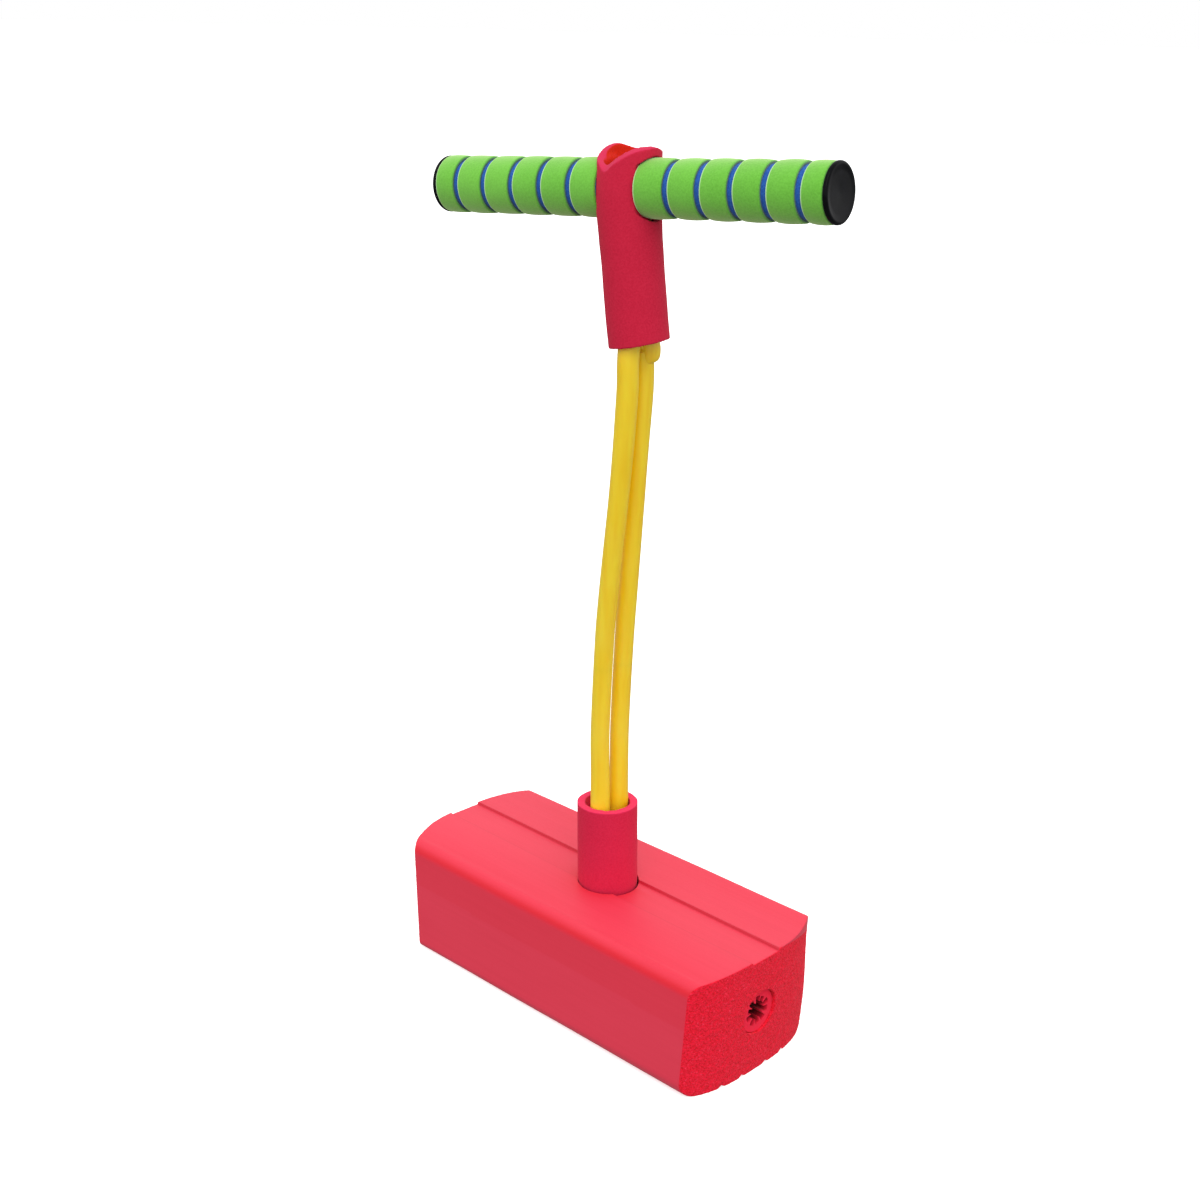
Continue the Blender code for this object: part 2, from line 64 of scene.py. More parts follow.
# foam block
BLOCK_LOW, BLOCK_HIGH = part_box("base_block")
HALF_LENGTH = BLOCK_HIGH.x
HALF_WIDTH = BLOCK_HIGH.y
HEIGHT = 84.8 * MM  # at the channel's edges; the far right corner stands higher
END_BOW = 12.5 * MM  # how far the corners stand back from the middle of an end
END_SLANT = 5.0 * MM
FAR_END_BULGE = 3.7 * MM  # the right end's far side stands out towards the sole
ROLL_DEPTH = 8.0 * MM  # and the top's skin rolls this far over its corner
CHANNEL_HALF_WIDTH = 12.5 * MM
CHANNEL_DEPTH = 1.6 * MM
CHANNEL_STEP = 0.8 * MM
SHOULDER_DROP = 3.3 * MM
FAR_SHOULDER_DROP = 0.3 * MM
FAR_SHOULDER_LIFT = 2.7 * MM  # how much higher the far corner stands at the right end
NEAR_CORNER = 9.0 * MM
FAR_CORNER = 5.0 * MM
FAR_SOLE_CORNER = 8.0 * MM
NEAR_SOLE_CORNERS = (6.0 * MM, 11.0 * MM)  # at the left and right end
LOBE_EDGES = (11.7 * MM, 29.3 * MM)  # grooves of the sole, from the middle out
LOBE_ROUND = 4.0 * MM
CUSP_HEIGHT = 2.1 * MM

# tube that anchors the loop
ANCHOR_LOW, ANCHOR_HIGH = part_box("anchor_tube")
ANCHOR_Z = (ANCHOR_LOW.z + ANCHOR_HIGH.z) / 2
ANCHOR_RADIUS = ANCHOR_HIGH.y
ANCHOR_END = ANCHOR_HIGH.x
STAR_SLOTS = 10
STAR_TIP_RADIUS = 10.2 * MM
STAR_ROOT_RADIUS = 6.2 * MM
STAR_TURN = math.radians(21)

# foam collar
COLLAR_LOW, COLLAR_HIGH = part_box("lower_collar")
COLLAR_X = (COLLAR_LOW.x + COLLAR_HIGH.x) / 2
COLLAR_RADIUS = COLLAR_HIGH.y
COLLAR_BORE = 14.85 * MM
COLLAR_LEAN = math.radians(1.9)
COLLAR_EXTRA = 2.6 * MM  # the soft collar stands this much prouder
HOLE_RADIUS = 20.45 * MM
HOLE_X = COLLAR_X + 1.4 * MM
HOLE_Y = -0.8 * MM
SLOT_HALF_LENGTH = 7.2 * MM
SLOT_HALF_WIDTH = 28.6 * MM

# bar, from the joint that it spins on
SPIN = next(j for j in frame["joints"] if j["name"] == "handle_spin")
BAR_CENTRE = Vector(SPIN["pos_m"])
BAR_AXIS = Vector(SPIN["axis"]).normalized()
BAR_YAW = math.atan2(BAR_AXIS.y, BAR_AXIS.x)
BAR_PITCH = math.asin(BAR_AXIS.z)
BAR = Matrix.Translation(BAR_CENTRE) @ Matrix.Rotation(BAR_YAW, 4, "Z") @ Matrix.Rotation(-BAR_PITCH, 4, "Y")
CORE_RADIUS = 7.5 * MM

# grips
GRIP_START = 12.5 * MM
GRIP_END = 132.5 * MM
GRIP_RADIUS = 17.0 * MM
LAYER_RADIUS = 14.7 * MM
BANDS = 6
BAND_PITCH = 21.0 * MM
GROOVE_HALF_WIDTH = 1.9 * MM
CAP_FACE = 135.4 * MM
CAP_RADIUS = 16.9 * MM

# foam sleeve
SLEEVE_LEAN = math.radians(3.1)
SLEEVE = BAR @ Matrix.Rotation(-SLEEVE_LEAN, 4, "Y")
SLEEVE_RADIUS = 18.25 * MM
SLEEVE_BORE = 14.0 * MM
SLEEVE_BELOW = 92.5 * MM
GRIP_HOLE_RADIUS = 17.25 * MM
LEFT_HOLE_START = 13.8 * MM  # the left grip's end stops inside the sleeve's wall
RIGHT_HOLE_START = 12.2 * MM
RIGHT_HOLE_SLACK = Vector((0.0, -0.45 * MM, -0.5 * MM))  # the right grip doesn't quite fill its hole
CORE_HOLE_RADIUS = 7.8 * MM
DENT_WALL = 2.2 * MM

# rubber tube
STRAND_RADIUS = 6.3 * MM
STRAND_BORE = 3.7 * MM
STRETCHED_RADII = ((0.14, 6.4), (0.165, 6.15), (0.20, 6.15), (0.34, 6.15), (0.37, 6.3), (0.41, 6.6), (0.45, 6.6), (0.49, 6.3))
STRAND_DRIFT = ((0.0, 0.2), (0.08, 0.5), (0.17, 1.3), (0.42, 1.9), (0.7, 1.2), (0.93, 1.3), (1.0, 2.6))  # (share of the way up, mm)
DRIFT_SIDE = Vector((-0.72, -0.69, 0.0))
HALF_SPACING = 8.1 * MM
FOOT_SPACING = 7.7 * MM
SLEEVE_HALF_SPACING = 7.3 * MM
FLAT_HALF_WIDTH = 8.0 * MM
FLAT_HALF_THICKNESS = 2.6 * MM
LOWER_TURN = math.radians(-7.5)
TWIST_LOW_Z, TWIST_HIGH_Z = 0.26, 0.40
COLLAR_FOOT_Z = COLLAR_LOW.z
COLLAR_TOP_Z = COLLAR_HIGH.z
STRAND_BEND_Z = 74.0 * MM
BEND_RUN = 5.0 * MM
SPLIT_Z = 0.24  # where the lower and the upper tubes meet


# ---------------------------------------------------------------- mesh tools


def new_piece(name, vertices, faces, look, place=None, sharp=45):
    """A mesh object with its normals out, smooth but for edges sharper than the given angle."""
    mesh = bpy.data.meshes.new(name)
    mesh.from_pydata([tuple(v) for v in vertices], [], faces)
    if place is not None:
        mesh.transform(place)
    work = bmesh.new()
    work.from_mesh(mesh)
    bmesh.ops.recalc_face_normals(work, faces=work.faces)
    work.to_mesh(mesh)
    work.free()
    return finish_piece(name, mesh, look, sharp)


def finish_piece(name, mesh, look, sharp):
    mesh.shade_smooth()
    if sharp:
        mesh.set_sharp_from_angle(angle=math.radians(sharp))
    mesh.materials.clear()
    if look is not None:
        mesh.materials.append(look)
    piece = bpy.data.objects.new(name, mesh)
    bpy.context.scene.collection.objects.link(piece)
    return piece


def loft_faces(loops, around, closed):
    """Quads between neighbouring loops; closed joins the last loop to the first, else the ends are capped."""
    faces = []
    for i in range(loops if closed else loops - 1):
        low = i * around
        high = ((i + 1) % loops) * around
        for k in range(around):
            after = (k + 1) % around
            faces.append((low + k, low + after, high + after, high + k))
    if not closed:
        faces.append(tuple(range(around)))
        faces.append(tuple(range((loops - 1) * around, loops * around)))
    return faces


def loft(name, loops, look, place=None, closed=False, sharp=45):
    vertices = [point for loop in loops for point in loop]
    return new_piece(name, vertices, loft_faces(len(loops), len(loops[0]), closed), look, place, sharp)


def turned(name, profile, look, place, around=96, closed=False, wobble=0.0, seed=0, sharp=45):
    """A profile of (x, radius) points turned about X, a little uneven."""
    loops = []
    for x, radius in profile:
        loop = []
        for k in range(around):
            a = 2 * math.pi * k / around
            drift = wobble * noise.noise(Vector((x * 60 + seed * 7.1, 1.3 * math.cos(a), 1.3 * math.sin(a))))
            loop.append((x, (radius + drift) * math.cos(a), (radius + drift) * math.sin(a)))
        loops.append(loop)
    return loft(name, loops, look, place, closed, sharp)


def positions(mesh):
    flat = np.zeros(len(mesh.vertices) * 3, np.float32)
    mesh.vertices.foreach_get("co", flat)
    return flat.reshape(-1, 3).astype(float)


def normals(mesh):
    flat = np.zeros(len(mesh.vertices) * 3, np.float32)
    mesh.vertices.foreach_get("normal", flat)
    return flat.reshape(-1, 3).astype(float)


def paint(piece, name, values):
    """Stores a number on each point for the material to read."""
    made = piece.data.attributes.new(name, "FLOAT", "POINT")
    made.data.foreach_set("value", np.asarray(values, np.float32))


def keep_place(piece):
    """Stores where each point is at rest, so that a texture doesn't slide when the piece bends."""
    made = piece.data.attributes.new("rest_place", "FLOAT_VECTOR", "POINT")
    made.data.foreach_set("vector", positions(piece.data).astype(np.float32).ravel())


def noise_at(points, scale, seed):
    shift = Vector((seed * 17.3, seed * 5.1, seed * 9.7))
    return np.array([noise.noise(Vector(p) * scale + shift) for p in points])


def push(piece, amount, scale, seed, mask=None):
    """Moves the points along their normals by smooth noise."""
    co = positions(piece.data)
    move = amount * noise_at(co, scale, seed)
    if mask is not None:
        move = move * mask
    co += normals(piece.data) * move[:, None]
    piece.data.vertices.foreach_set("co", co.astype(np.float32).ravel())
    piece.data.update()


def applied(piece):
    """Bakes the piece's modifiers into its mesh."""
    graph = bpy.context.evaluated_depsgraph_get()
    mesh = bpy.data.meshes.new_from_object(piece.evaluated_get(graph))
    piece.modifiers.clear()
    piece.data = mesh
    return piece


def cut_away(piece, cutters):
    for cutter in cutters:
        step = piece.modifiers.new("cut", "BOOLEAN")
        step.operation = "DIFFERENCE"
        step.solver = "EXACT"
        step.object = cutter
    applied(piece)
    for cutter in cutters:
        bpy.data.objects.remove(cutter, do_unlink=True)


def smooth_step(value, low, high):
    t = np.clip((value - low) / (high - low), 0.0, 1.0)
    eased = t * t * (3 - 2 * t)
    return float(eased) if np.ndim(value) == 0 else eased


def round_curve(points, turn):
    """The value at an angle in degrees of a smooth closed curve through (angle, value) points."""
    angles = [a for a, _ in points]
    values = [v for _, v in points]
    turn = turn % 360
    count = len(points)
    index = max(i for i in range(count) if angles[i] <= turn)
    after = (index + 1) % count
    span = (angles[after] - angles[index]) % 360
    t = (turn - angles[index]) / span
    before = values[index - 1]
    low = values[index]
    high = values[after]
    beyond = values[(index + 2) % count]
    bend = (2 * low - 2 * high + (high - before) / 2 + (beyond - low) / 2) * t**3
    lean = (-3 * low + 3 * high - (high - before) - (beyond - low) / 2) * t**2
    return low + (high - before) / 2 * t + lean + bend


# ---------------------------------------------------------------- material tools


def start_look(name):
    made = bpy.data.materials.new(name)
    made.use_nodes = True
    return made, made.node_tree, made.node_tree.nodes["Principled BSDF"]


def put(tree, kind, inputs=None, **settings):
    """Adds a node; an input is a value, or another node's output."""
    made = tree.nodes.new("ShaderNode" + kind)
    for key, value in settings.items():
        setattr(made, key, value)
    for key, value in (inputs or {}).items():
        if isinstance(value, bpy.types.NodeSocket):
            tree.links.new(value, made.inputs[key])
        else:
            made.inputs[key].default_value = value
    return made


def colour_mix(tree, factor, first, second):
    made = put(tree, "Mix", data_type="RGBA", inputs={0: factor})
    for index, value in ((6, first), (7, second)):
        if isinstance(value, bpy.types.NodeSocket):
            tree.links.new(value, made.inputs[index])
        else:
            made.inputs[index].default_value = (*value, 1.0)
    return made.outputs[2]


def ramp(tree, value, low, high, to_low=0.0, to_high=1.0):
    sockets = {"Value": value, "From Min": low, "From Max": high, "To Min": to_low, "To Max": to_high}
    return put(tree, "MapRange", sockets).outputs["Result"]


def stored(tree, name):
    return put(tree, "Attribute", attribute_name=name).outputs["Fac"]


def place_of(tree, kept, stretch=(1.0, 1.0, 1.0)):
    """Object coordinates, or the stored places at rest, stretched along an axis."""
    if kept:
        source = put(tree, "Attribute", attribute_name="rest_place").outputs["Vector"]
    else:
        source = put(tree, "TexCoord").outputs["Object"]
    return put(tree, "Mapping", {"Vector": source, "Scale": stretch}).outputs["Vector"]


def speckle(tree, place, scale, detail=3.0):
    return put(tree, "TexNoise", {"Vector": place, "Scale": scale, "Detail": detail}).outputs["Fac"]


def cells(tree, place, scale):
    return put(tree, "TexVoronoi", {"Vector": place, "Scale": scale}).outputs["Distance"]


def bumped(tree, shader, height, depth, strength):
    bump = put(tree, "Bump", {"Height": height, "Distance": depth, "Strength": strength})
    tree.links.new(bump.outputs["Normal"], shader.inputs["Normal"])


def set_shader(shader, **values):
    for key, value in values.items():
        shader.inputs[key.replace("_", " ")].default_value = value


def foam_look(name, colour, dark, light, cut_and_highlight_colour, grain, depth, sheen):
    """Fine closed-cell foam: small grain, slow change of tone, and another colour where it was cut; on the green rings
    that colour is a painted highlight along one edge of each ring.
    """
    made, tree, shader = start_look(name)
    place = place_of(tree, False)
    fine = speckle(tree, place, grain, 4.0)
    pores = cells(tree, place, grain * 0.8)
    slow = speckle(tree, place, 22.0, 2.0)
    tone = colour_mix(tree, ramp(tree, fine, 0.35, 0.62), dark, colour)
    tone = colour_mix(tree, ramp(tree, slow, 0.4, 0.75, 0.0, 0.35), tone, light)
    tone = colour_mix(tree, stored(tree, "cut_face_and_highlight"), tone, cut_and_highlight_colour)
    tree.links.new(tone, shader.inputs["Base Color"])
    tree.links.new(ramp(tree, fine, 0.3, 0.7, 0.92, 0.72), shader.inputs["Roughness"])
    height = put(tree, "Math", {0: fine, 1: pores}, operation="ADD").outputs[0]
    bumped(tree, shader, height, depth, 0.6)
    set_shader(shader, Sheen_Weight=sheen, Sheen_Roughness=0.5, Specular_IOR_Level=0.15)
    return made


def block_look():
    """Moulded skin with faint lines drawn along the block, and ends that were sawn through the cells; painted shade
    lies along the top's rounded edges, in front of the collar, on the channel's steps, and in the collar hole and the
    bore.
    """
    made, tree, shader = start_look("block_foam")
    place = place_of(tree, False)
    lines = speckle(tree, place_of(tree, False, (0.03, 1.0, 1.0)), 380.0, 3.0)
    slow = speckle(tree, place_of(tree, False, (0.5, 1.0, 1.0)), 16.0, 2.0)
    fine = speckle(tree, place, 900.0, 2.0)
    skin = colour_mix(tree, ramp(tree, lines, 0.3, 0.7), (0.775, 0.036, 0.074), (0.80, 0.040, 0.081))
    skin = colour_mix(tree, ramp(tree, slow, 0.4, 0.7, 0.0, 0.3), skin, (0.84, 0.050, 0.094))
    # Painted shade: a darker red along the top's rounded long edges and on the top in front of the collar.
    skin = colour_mix(tree, stored(tree, "painted_edge_and_collar_shade"), skin, (0.74, 0.010, 0.028))
    # Painted shade on the channel's steps.
    skin = colour_mix(tree, stored(tree, "painted_step_shade"), skin, (0.50, 0.011, 0.028))
    grain = speckle(tree, place, 900.0, 2.0)
    holes = cells(tree, place, 800.0)
    pits = put(tree, "Math", {0: ramp(tree, grain, 0.34, 0.56), 1: holes}, operation="MULTIPLY").outputs[0]
    sawn = colour_mix(tree, ramp(tree, pits, 0.0, 0.34), (0.72, 0.002, 0.013), (0.98, 0.007, 0.036))
    sawn = colour_mix(tree, ramp(tree, grain, 0.60, 0.74), sawn, (1.0, 0.05, 0.11))
    cut = stored(tree, "cut_face_and_highlight")
    tree.links.new(colour_mix(tree, cut, skin, sawn), shader.inputs["Base Color"])
    roughness = ramp(tree, fine, 0.3, 0.7, 0.44, 0.52)
    rough = put(tree, "Math", {0: roughness, 1: cut}, operation="ADD", use_clamp=True).outputs[0]
    tree.links.new(rough, shader.inputs["Roughness"])
    lift = put(tree, "Math", {0: lines, 1: 0.03}, operation="MULTIPLY").outputs[0]
    lift = put(tree, "Math", {0: fine, 1: 0.04, 2: lift}, operation="MULTIPLY_ADD").outputs[0]
    relief = put(tree, "Math", {0: pits, 1: 0.8}, operation="MULTIPLY").outputs[0]
    height = put(tree, "Mix", {0: cut, 2: lift, 3: relief}).outputs[0]
    bumped(tree, shader, height, 1.0 * MM, 0.7)
    set_shader(shader, Sheen_Weight=0.04, Sheen_Roughness=0.45, Specular_IOR_Level=0.3)
    return overlay(made, "shade", (0.12, 0.0, 0.003))


def rubber_look(name, depth_colour, colour, pale):
    """Thick latex tube, slightly cloudy, with pale streaks of painted highlight drawn along it."""
    made, tree, shader = start_look(name)
    streaks = speckle(tree, place_of(tree, True, (1.0, 1.0, 0.06)), 210.0, 2.0)
    fine = speckle(tree, place_of(tree, True, (1.0, 1.0, 0.3)), 700.0, 2.0)
    slow = speckle(tree, place_of(tree, True), 18.0, 2.0)
    # Painted highlight: lighter streaks along the tube and pale patches, standing for soft reflections.
    tone = colour_mix(tree, ramp(tree, streaks, 0.35, 0.65), depth_colour, colour)
    tone = colour_mix(tree, ramp(tree, slow, 0.45, 0.75, 0.0, 0.5), tone, pale)
    tree.links.new(tone, shader.inputs["Base Color"])
    tree.links.new(ramp(tree, streaks, 0.3, 0.7, 0.36, 0.48), shader.inputs["Roughness"])
    bumped(tree, shader, fine, 0.1 * MM, 0.35)
    set_shader(shader, Subsurface_Weight=0.25, Subsurface_Scale=4 * MM, Specular_IOR_Level=0.5)
    shader.inputs["Subsurface Radius"].default_value = (1.0, 0.6, 0.1)
    set_shader(shader, Coat_Weight=0.15, Coat_Roughness=0.3)
    return made


def plastic_look(name, colour, worn, low_gloss, high_gloss):
    """Moulded plastic with faint swirls in its gloss."""
    made, tree, shader = start_look(name)
    place = place_of(tree, False)
    swirl = speckle(tree, place, 160.0, 4.0)
    fine = speckle(tree, place, 1400.0, 2.0)
    tree.links.new(colour_mix(tree, ramp(tree, swirl, 0.4, 0.7), colour, worn), shader.inputs["Base Color"])
    tree.links.new(ramp(tree, swirl, 0.3, 0.7, low_gloss, high_gloss), shader.inputs["Roughness"])
    bumped(tree, shader, fine, 0.03 * MM, 0.2)
    set_shader(shader, Specular_IOR_Level=0.05)
    return made


# ---------------------------------------------------------------- foam block


def shoulder_drop(share, y):
    """Fall of the shoulder on y's side at a share (-1 to 1) of the block's length."""
    if y < 0:
        return SHOULDER_DROP
    return FAR_SHOULDER_DROP - FAR_SHOULDER_LIFT * (1 + share) / 2


def corner_radius(y):
    return NEAR_CORNER if y < 0 else FAR_CORNER


def sole_corner(share, side):
    if side > 0:
        return FAR_SOLE_CORNER
    low, high = NEAR_SOLE_CORNERS
    return low + (high - low) * (1 + share) / 2


def block_top(share, y):
    """Height of the top at y: a flat channel between two crowned shoulders."""
    side = abs(y)
    inner = CHANNEL_HALF_WIDTH + CHANNEL_STEP
    along = min(1.0, max(0.0, side - inner) / (HALF_WIDTH - corner_radius(y) - inner))
    step = smooth_step(side, CHANNEL_HALF_WIDTH, inner)
    return HEIGHT - CHANNEL_DEPTH * (1 - step) - shoulder_drop(share, y) * along**2


def block_sole(y):
    height = 0.0
    for edge in LOBE_EDGES:
        height += CUSP_HEIGHT * max(0.0, 1.0 - abs(abs(y) - edge) / LOBE_ROUND) ** 2
    return height


def quarter(centre_y, centre_z, radius, start, steps):
    """Points of a quarter circle from start degrees, going round by the right."""
    angles = [math.radians(start - 90 * k / steps) for k in range(steps + 1)]
    return [(centre_y + radius * math.cos(a), centre_z + radius * math.sin(a)) for a in angles]


def block_half_outline(share, side):
    """(y, z) down one half of the section, from the middle of the top to the middle of the sole."""
    corner = corner_radius(side)
    corner_y = HALF_WIDTH - corner
    top = list(np.arange(0, 12.01, 1.0) * MM)
    top += [CHANNEL_HALF_WIDTH + CHANNEL_STEP * k / 4 for k in range(5)]
    top += list(np.linspace(14.2 * MM, corner_y, 40))
    points = [(y, block_top(share, side * y)) for y in top]
    shoulder = points[-1][1] - corner
    points += quarter(corner_y, shoulder, corner, 90, 14)[1:]
    foot = sole_corner(share, side)
    points += [(HALF_WIDTH, z) for z in np.linspace(shoulder, foot, 62)[1:]]
    points += quarter(HALF_WIDTH - foot, foot, foot, 0, 12)[1:]
    points += [(y, block_sole(y)) for y in np.linspace(HALF_WIDTH - foot, 0.0, 66)[1:]]
    return [(side * y, z) for y, z in points]


def block_end(y, z, side):
    """Distance of the sawn end on side's side from the block's middle, at y and z."""
    out = HALF_LENGTH - END_BOW * (abs(y) / HALF_WIDTH) ** 3 - END_SLANT * (1.0 - z / HEIGHT)
    if side > 0 and y > 0:
        out += FAR_END_BULGE * (y / HALF_WIDTH) ** 3 * smooth_step(HEIGHT - z, 0.0, 60 * MM)
    return out


def rolled_over(co):
    """Where the skin of the top rolls over the right end's far corner."""
    beyond = np.clip((co[:, 1] - 13 * MM) / (45 * MM), 0.0, None)
    return (co[:, 0] > 0) & (HEIGHT - co[:, 2] < ROLL_DEPTH * beyond**1.5)


def block_outline(share):
    half = block_half_outline(share, 1)
    other = block_half_outline(share, -1)[1:-1]
    return np.array(half + list(reversed(other)))


def skin_loops():
    """Loops along the block from end to end, close together at the sawn edges."""
    shares = [1.0, 0.996, 0.988, 0.97] + list(np.linspace(0.94, -0.94, 70)) + [-0.97, -0.988, -0.996, -1.0]
    loops = []
    for share in shares:
        loop = []
        for y, z in block_outline(share):
            inset = 0.25 * MM if abs(share) == 1.0 else 0.0
            loop.append((share * block_end(y, z, share), y * (1 - inset / HALF_WIDTH), z + inset * (0.5 - z / HEIGHT)))
        loops.append(loop)
    return loops


def end_loops(side, steps=46):
    """Loops over one sawn end, from its edge in to the bore."""
    outline = block_outline(side)
    centre = np.array((0.0, ANCHOR_Z))
    away = outline - centre
    ring = centre + away / np.linalg.norm(away, axis=1)[:, None] * (ANCHOR_RADIUS + 0.3 * MM)
    loops = []
    for k in range(1, steps + 1):
        share = k / steps
        points = outline * (1 - share) + ring * share
        loops.append([(side * block_end(y, z, side), y, z) for y, z in points])
    return loops


def make_block(look):
    loops = list(reversed(end_loops(1))) + skin_loops() + end_loops(-1)
    block = loft("foam_block", loops, None, closed=True, sharp=0)
    cut_away(block, [collar_hole_cutter(), slot_cutter()])
    mesh = block.data
    co = positions(mesh)
    facing = np.abs(normals(mesh)[:, 0])
    end = np.array([block_end(y, z, x) for x, y, z in co])
    rim = end - np.abs(co[:, 0])
    wear = np.where((rim < 0.6 * MM) & (facing > 0.3) & ~rolled_over(co), 1.0, 0.0)
    away = np.hypot(co[:, 0] - HOLE_X, co[:, 1] - HOLE_Y)
    in_hole = (away < HOLE_RADIUS + 0.5 * MM) & (co[:, 2] < HEIGHT - 4 * MM) & (co[:, 2] > COLLAR_FOOT_Z - 1 * MM)
    in_bore = (rim > 2 * MM) & (np.hypot(co[:, 1], co[:, 2] - ANCHOR_Z) < ANCHOR_RADIUS + 1 * MM)
    inside = np.where(in_hole | in_bore, 1.0, 0.0)
    paint(block, "cut_face_and_highlight", np.maximum(wear, inside))
    paint(block, "shade", inside)
    up = normals(mesh)[:, 2]
    long_side = (np.abs(co[:, 1]) > 40 * MM) & (co[:, 2] > 50 * MM)
    # Painted shade along the top's rounded long edges, where the surface turns from up to sideways.
    band = np.exp(-(((up - 0.42) / 0.34) ** 2)) * long_side
    # Painted shade, tinted by red light bounced off the collar, on the top in front of the collar, fading with
    # distance from it.
    shade = np.exp(-np.clip(away - COLLAR_RADIUS, 0, None) / (7 * MM)) * (up > 0.7) * (co[:, 1] < 5 * MM)
    paint(block, "painted_edge_and_collar_shade", np.maximum(band, 0.75 * shade))
    # Painted shade along the channel's two steps: a dark line on the far step and a faint one on the near step.
    far_step = np.exp(-(((co[:, 1] - CHANNEL_HALF_WIDTH - 0.3 * MM) / (0.9 * MM)) ** 2))
    near_step = np.exp(-(((co[:, 1] + CHANNEL_HALF_WIDTH + 0.4 * MM) / (0.9 * MM)) ** 2))
    paint(block, "painted_step_shade", (0.75 * far_step + 0.28 * near_step) * (co[:, 2] > 70 * MM) * (1 - wear))
    push(block, 0.30 * MM, 300.0, 3, wear * smooth_step(end_edge_distance(co), 0.0, 4 * MM))
    push(block, 0.22 * MM, 700.0, 4, wear)
    push(block, 0.30 * MM, 14.0, 5, 1.0 - wear)
    return dress(block, look, 40)


def dress(piece, look, sharp):
    piece.data.materials.clear()
    piece.data.materials.append(look)
    piece.data.shade_smooth()
    piece.data.set_sharp_from_angle(angle=math.radians(sharp))
    return piece


def end_edge_distance(co):
    """Rough distance of points on a sawn end from its outline."""
    side = HALF_WIDTH - np.abs(co[:, 1])
    return np.minimum(side, np.minimum(HEIGHT - co[:, 2], co[:, 2]))


def collar_hole_cutter():
    loops = []
    for z in (COLLAR_FOOT_Z - 0.3 * MM, HEIGHT + 10 * MM):
        loop = []
        for k in range(96):
            a = 2 * math.pi * k / 96
            radius = HOLE_RADIUS + 0.25 * MM * noise.noise(Vector((2 * math.cos(a), 2 * math.sin(a), 4.2)))
            loop.append((HOLE_X + radius * math.cos(a), HOLE_Y + radius * math.sin(a), z))
        loops.append(loop)
    return loft("hole_cutter", loops, None)


def slot_cutter():
    """The hollow in the block that the tube takes round the anchor."""
    turns = [math.radians(180 + 180 * k / 24) for k in range(25)]
    outline = [(SLOT_HALF_WIDTH * math.cos(a), ANCHOR_Z + SLOT_HALF_WIDTH * math.sin(a)) for a in turns]
    lid = COLLAR_FOOT_Z + 1 * MM
    outline += [(SLOT_HALF_WIDTH, lid), (-SLOT_HALF_WIDTH, lid)]
    sides = (COLLAR_X - SLOT_HALF_LENGTH, COLLAR_X + SLOT_HALF_LENGTH)
    return loft("slot_cutter", [[(x, y, z) for y, z in outline] for x in sides], None)


def star_outline(each):
    """Radii and angles round a star bore with blunt slots, each a little different."""
    points = []
    for k in range(STAR_SLOTS):
        middle = STAR_TURN + 2 * math.pi * k / STAR_SLOTS + math.radians(3.0) * math.sin(2.3 * k)
        tip = STAR_TIP_RADIUS + 0.7 * MM * math.sin(4.1 * k + 1.0)
        corners = ((-18, STAR_ROOT_RADIUS), (-15.5, STAR_ROOT_RADIUS + 0.1 * MM), (-14.5, STAR_ROOT_RADIUS + 1.0 * MM))
        corners += ((-12.5, tip - 0.7 * MM), (-9, tip), (9, tip), (12.5, tip - 0.7 * MM))
        corners += ((14.5, STAR_ROOT_RADIUS + 1.0 * MM), (15.5, STAR_ROOT_RADIUS + 0.1 * MM), (18, STAR_ROOT_RADIUS))
        for (a, r), (b, s) in zip(corners, corners[1:]):
            for step in range(each):
                t = step / each
                points.append((r + (s - r) * t, middle + math.radians(a + (b - a) * t)))
    return points


def make_anchor(look):
    """The tube across the block, with a star bore that shows at both ends."""
    star = star_outline(3)
    around = len(star)
    faces = 7
    loops = []
    stations = [-ANCHOR_END + 1.0 * MM, 0.0, ANCHOR_END - 1.0 * MM]
    for x in stations:
        loops.append([(x, ANCHOR_RADIUS * math.cos(a), ANCHOR_Z + ANCHOR_RADIUS * math.sin(a)) for _, a in star])
    for side in (1, -1):
        shares = [k / faces for k in range(faces + 1)]
        for share in shares if side > 0 else reversed(shares):
            loop = []
            for radius, a in star:
                edge = ANCHOR_RADIUS - 0.5 * MM
                r = edge + (radius - edge) * share
                bulge = 0.25 * MM * noise.noise(Vector((side * 3.0, r * math.cos(a) * 300, r * math.sin(a) * 300)))
                loop.append((side * ANCHOR_END + bulge, r * math.cos(a), ANCHOR_Z + r * math.sin(a)))
            loops.append(loop)
        if side > 0:
            for x in (ANCHOR_END - 3 * MM, ANCHOR_END - 9 * MM, 9 * MM - ANCHOR_END, 3 * MM - ANCHOR_END):
                loops.append([(x, r * math.cos(a), ANCHOR_Z + r * math.sin(a)) for r, a in star])
    anchor = loft("star_anchor", loops, look, closed=True, sharp=50)
    co = positions(anchor.data)
    paint(anchor, "cut_face_and_highlight", np.where(np.abs(co[:, 0]) > ANCHOR_END - 0.6 * MM, 1.0, 0.0))
    # Painted shade: the star bore darkens from its mouth inwards.
    depth = smooth_step(ANCHOR_END - np.abs(co[:, 0]), 0.3 * MM, 9 * MM)
    paint(anchor, "painted_bore_shade", depth)
    return anchor


# ---------------------------------------------------------------- rubber tube


def pair_direction(z):
    """Unit vector from the near strand to the far one at height z."""
    angle = LOWER_TURN + (BAR_YAW - LOWER_TURN) * smooth_step(z, TWIST_LOW_Z, TWIST_HIGH_Z)
    return Vector((-math.sin(angle), math.cos(angle), 0.0))


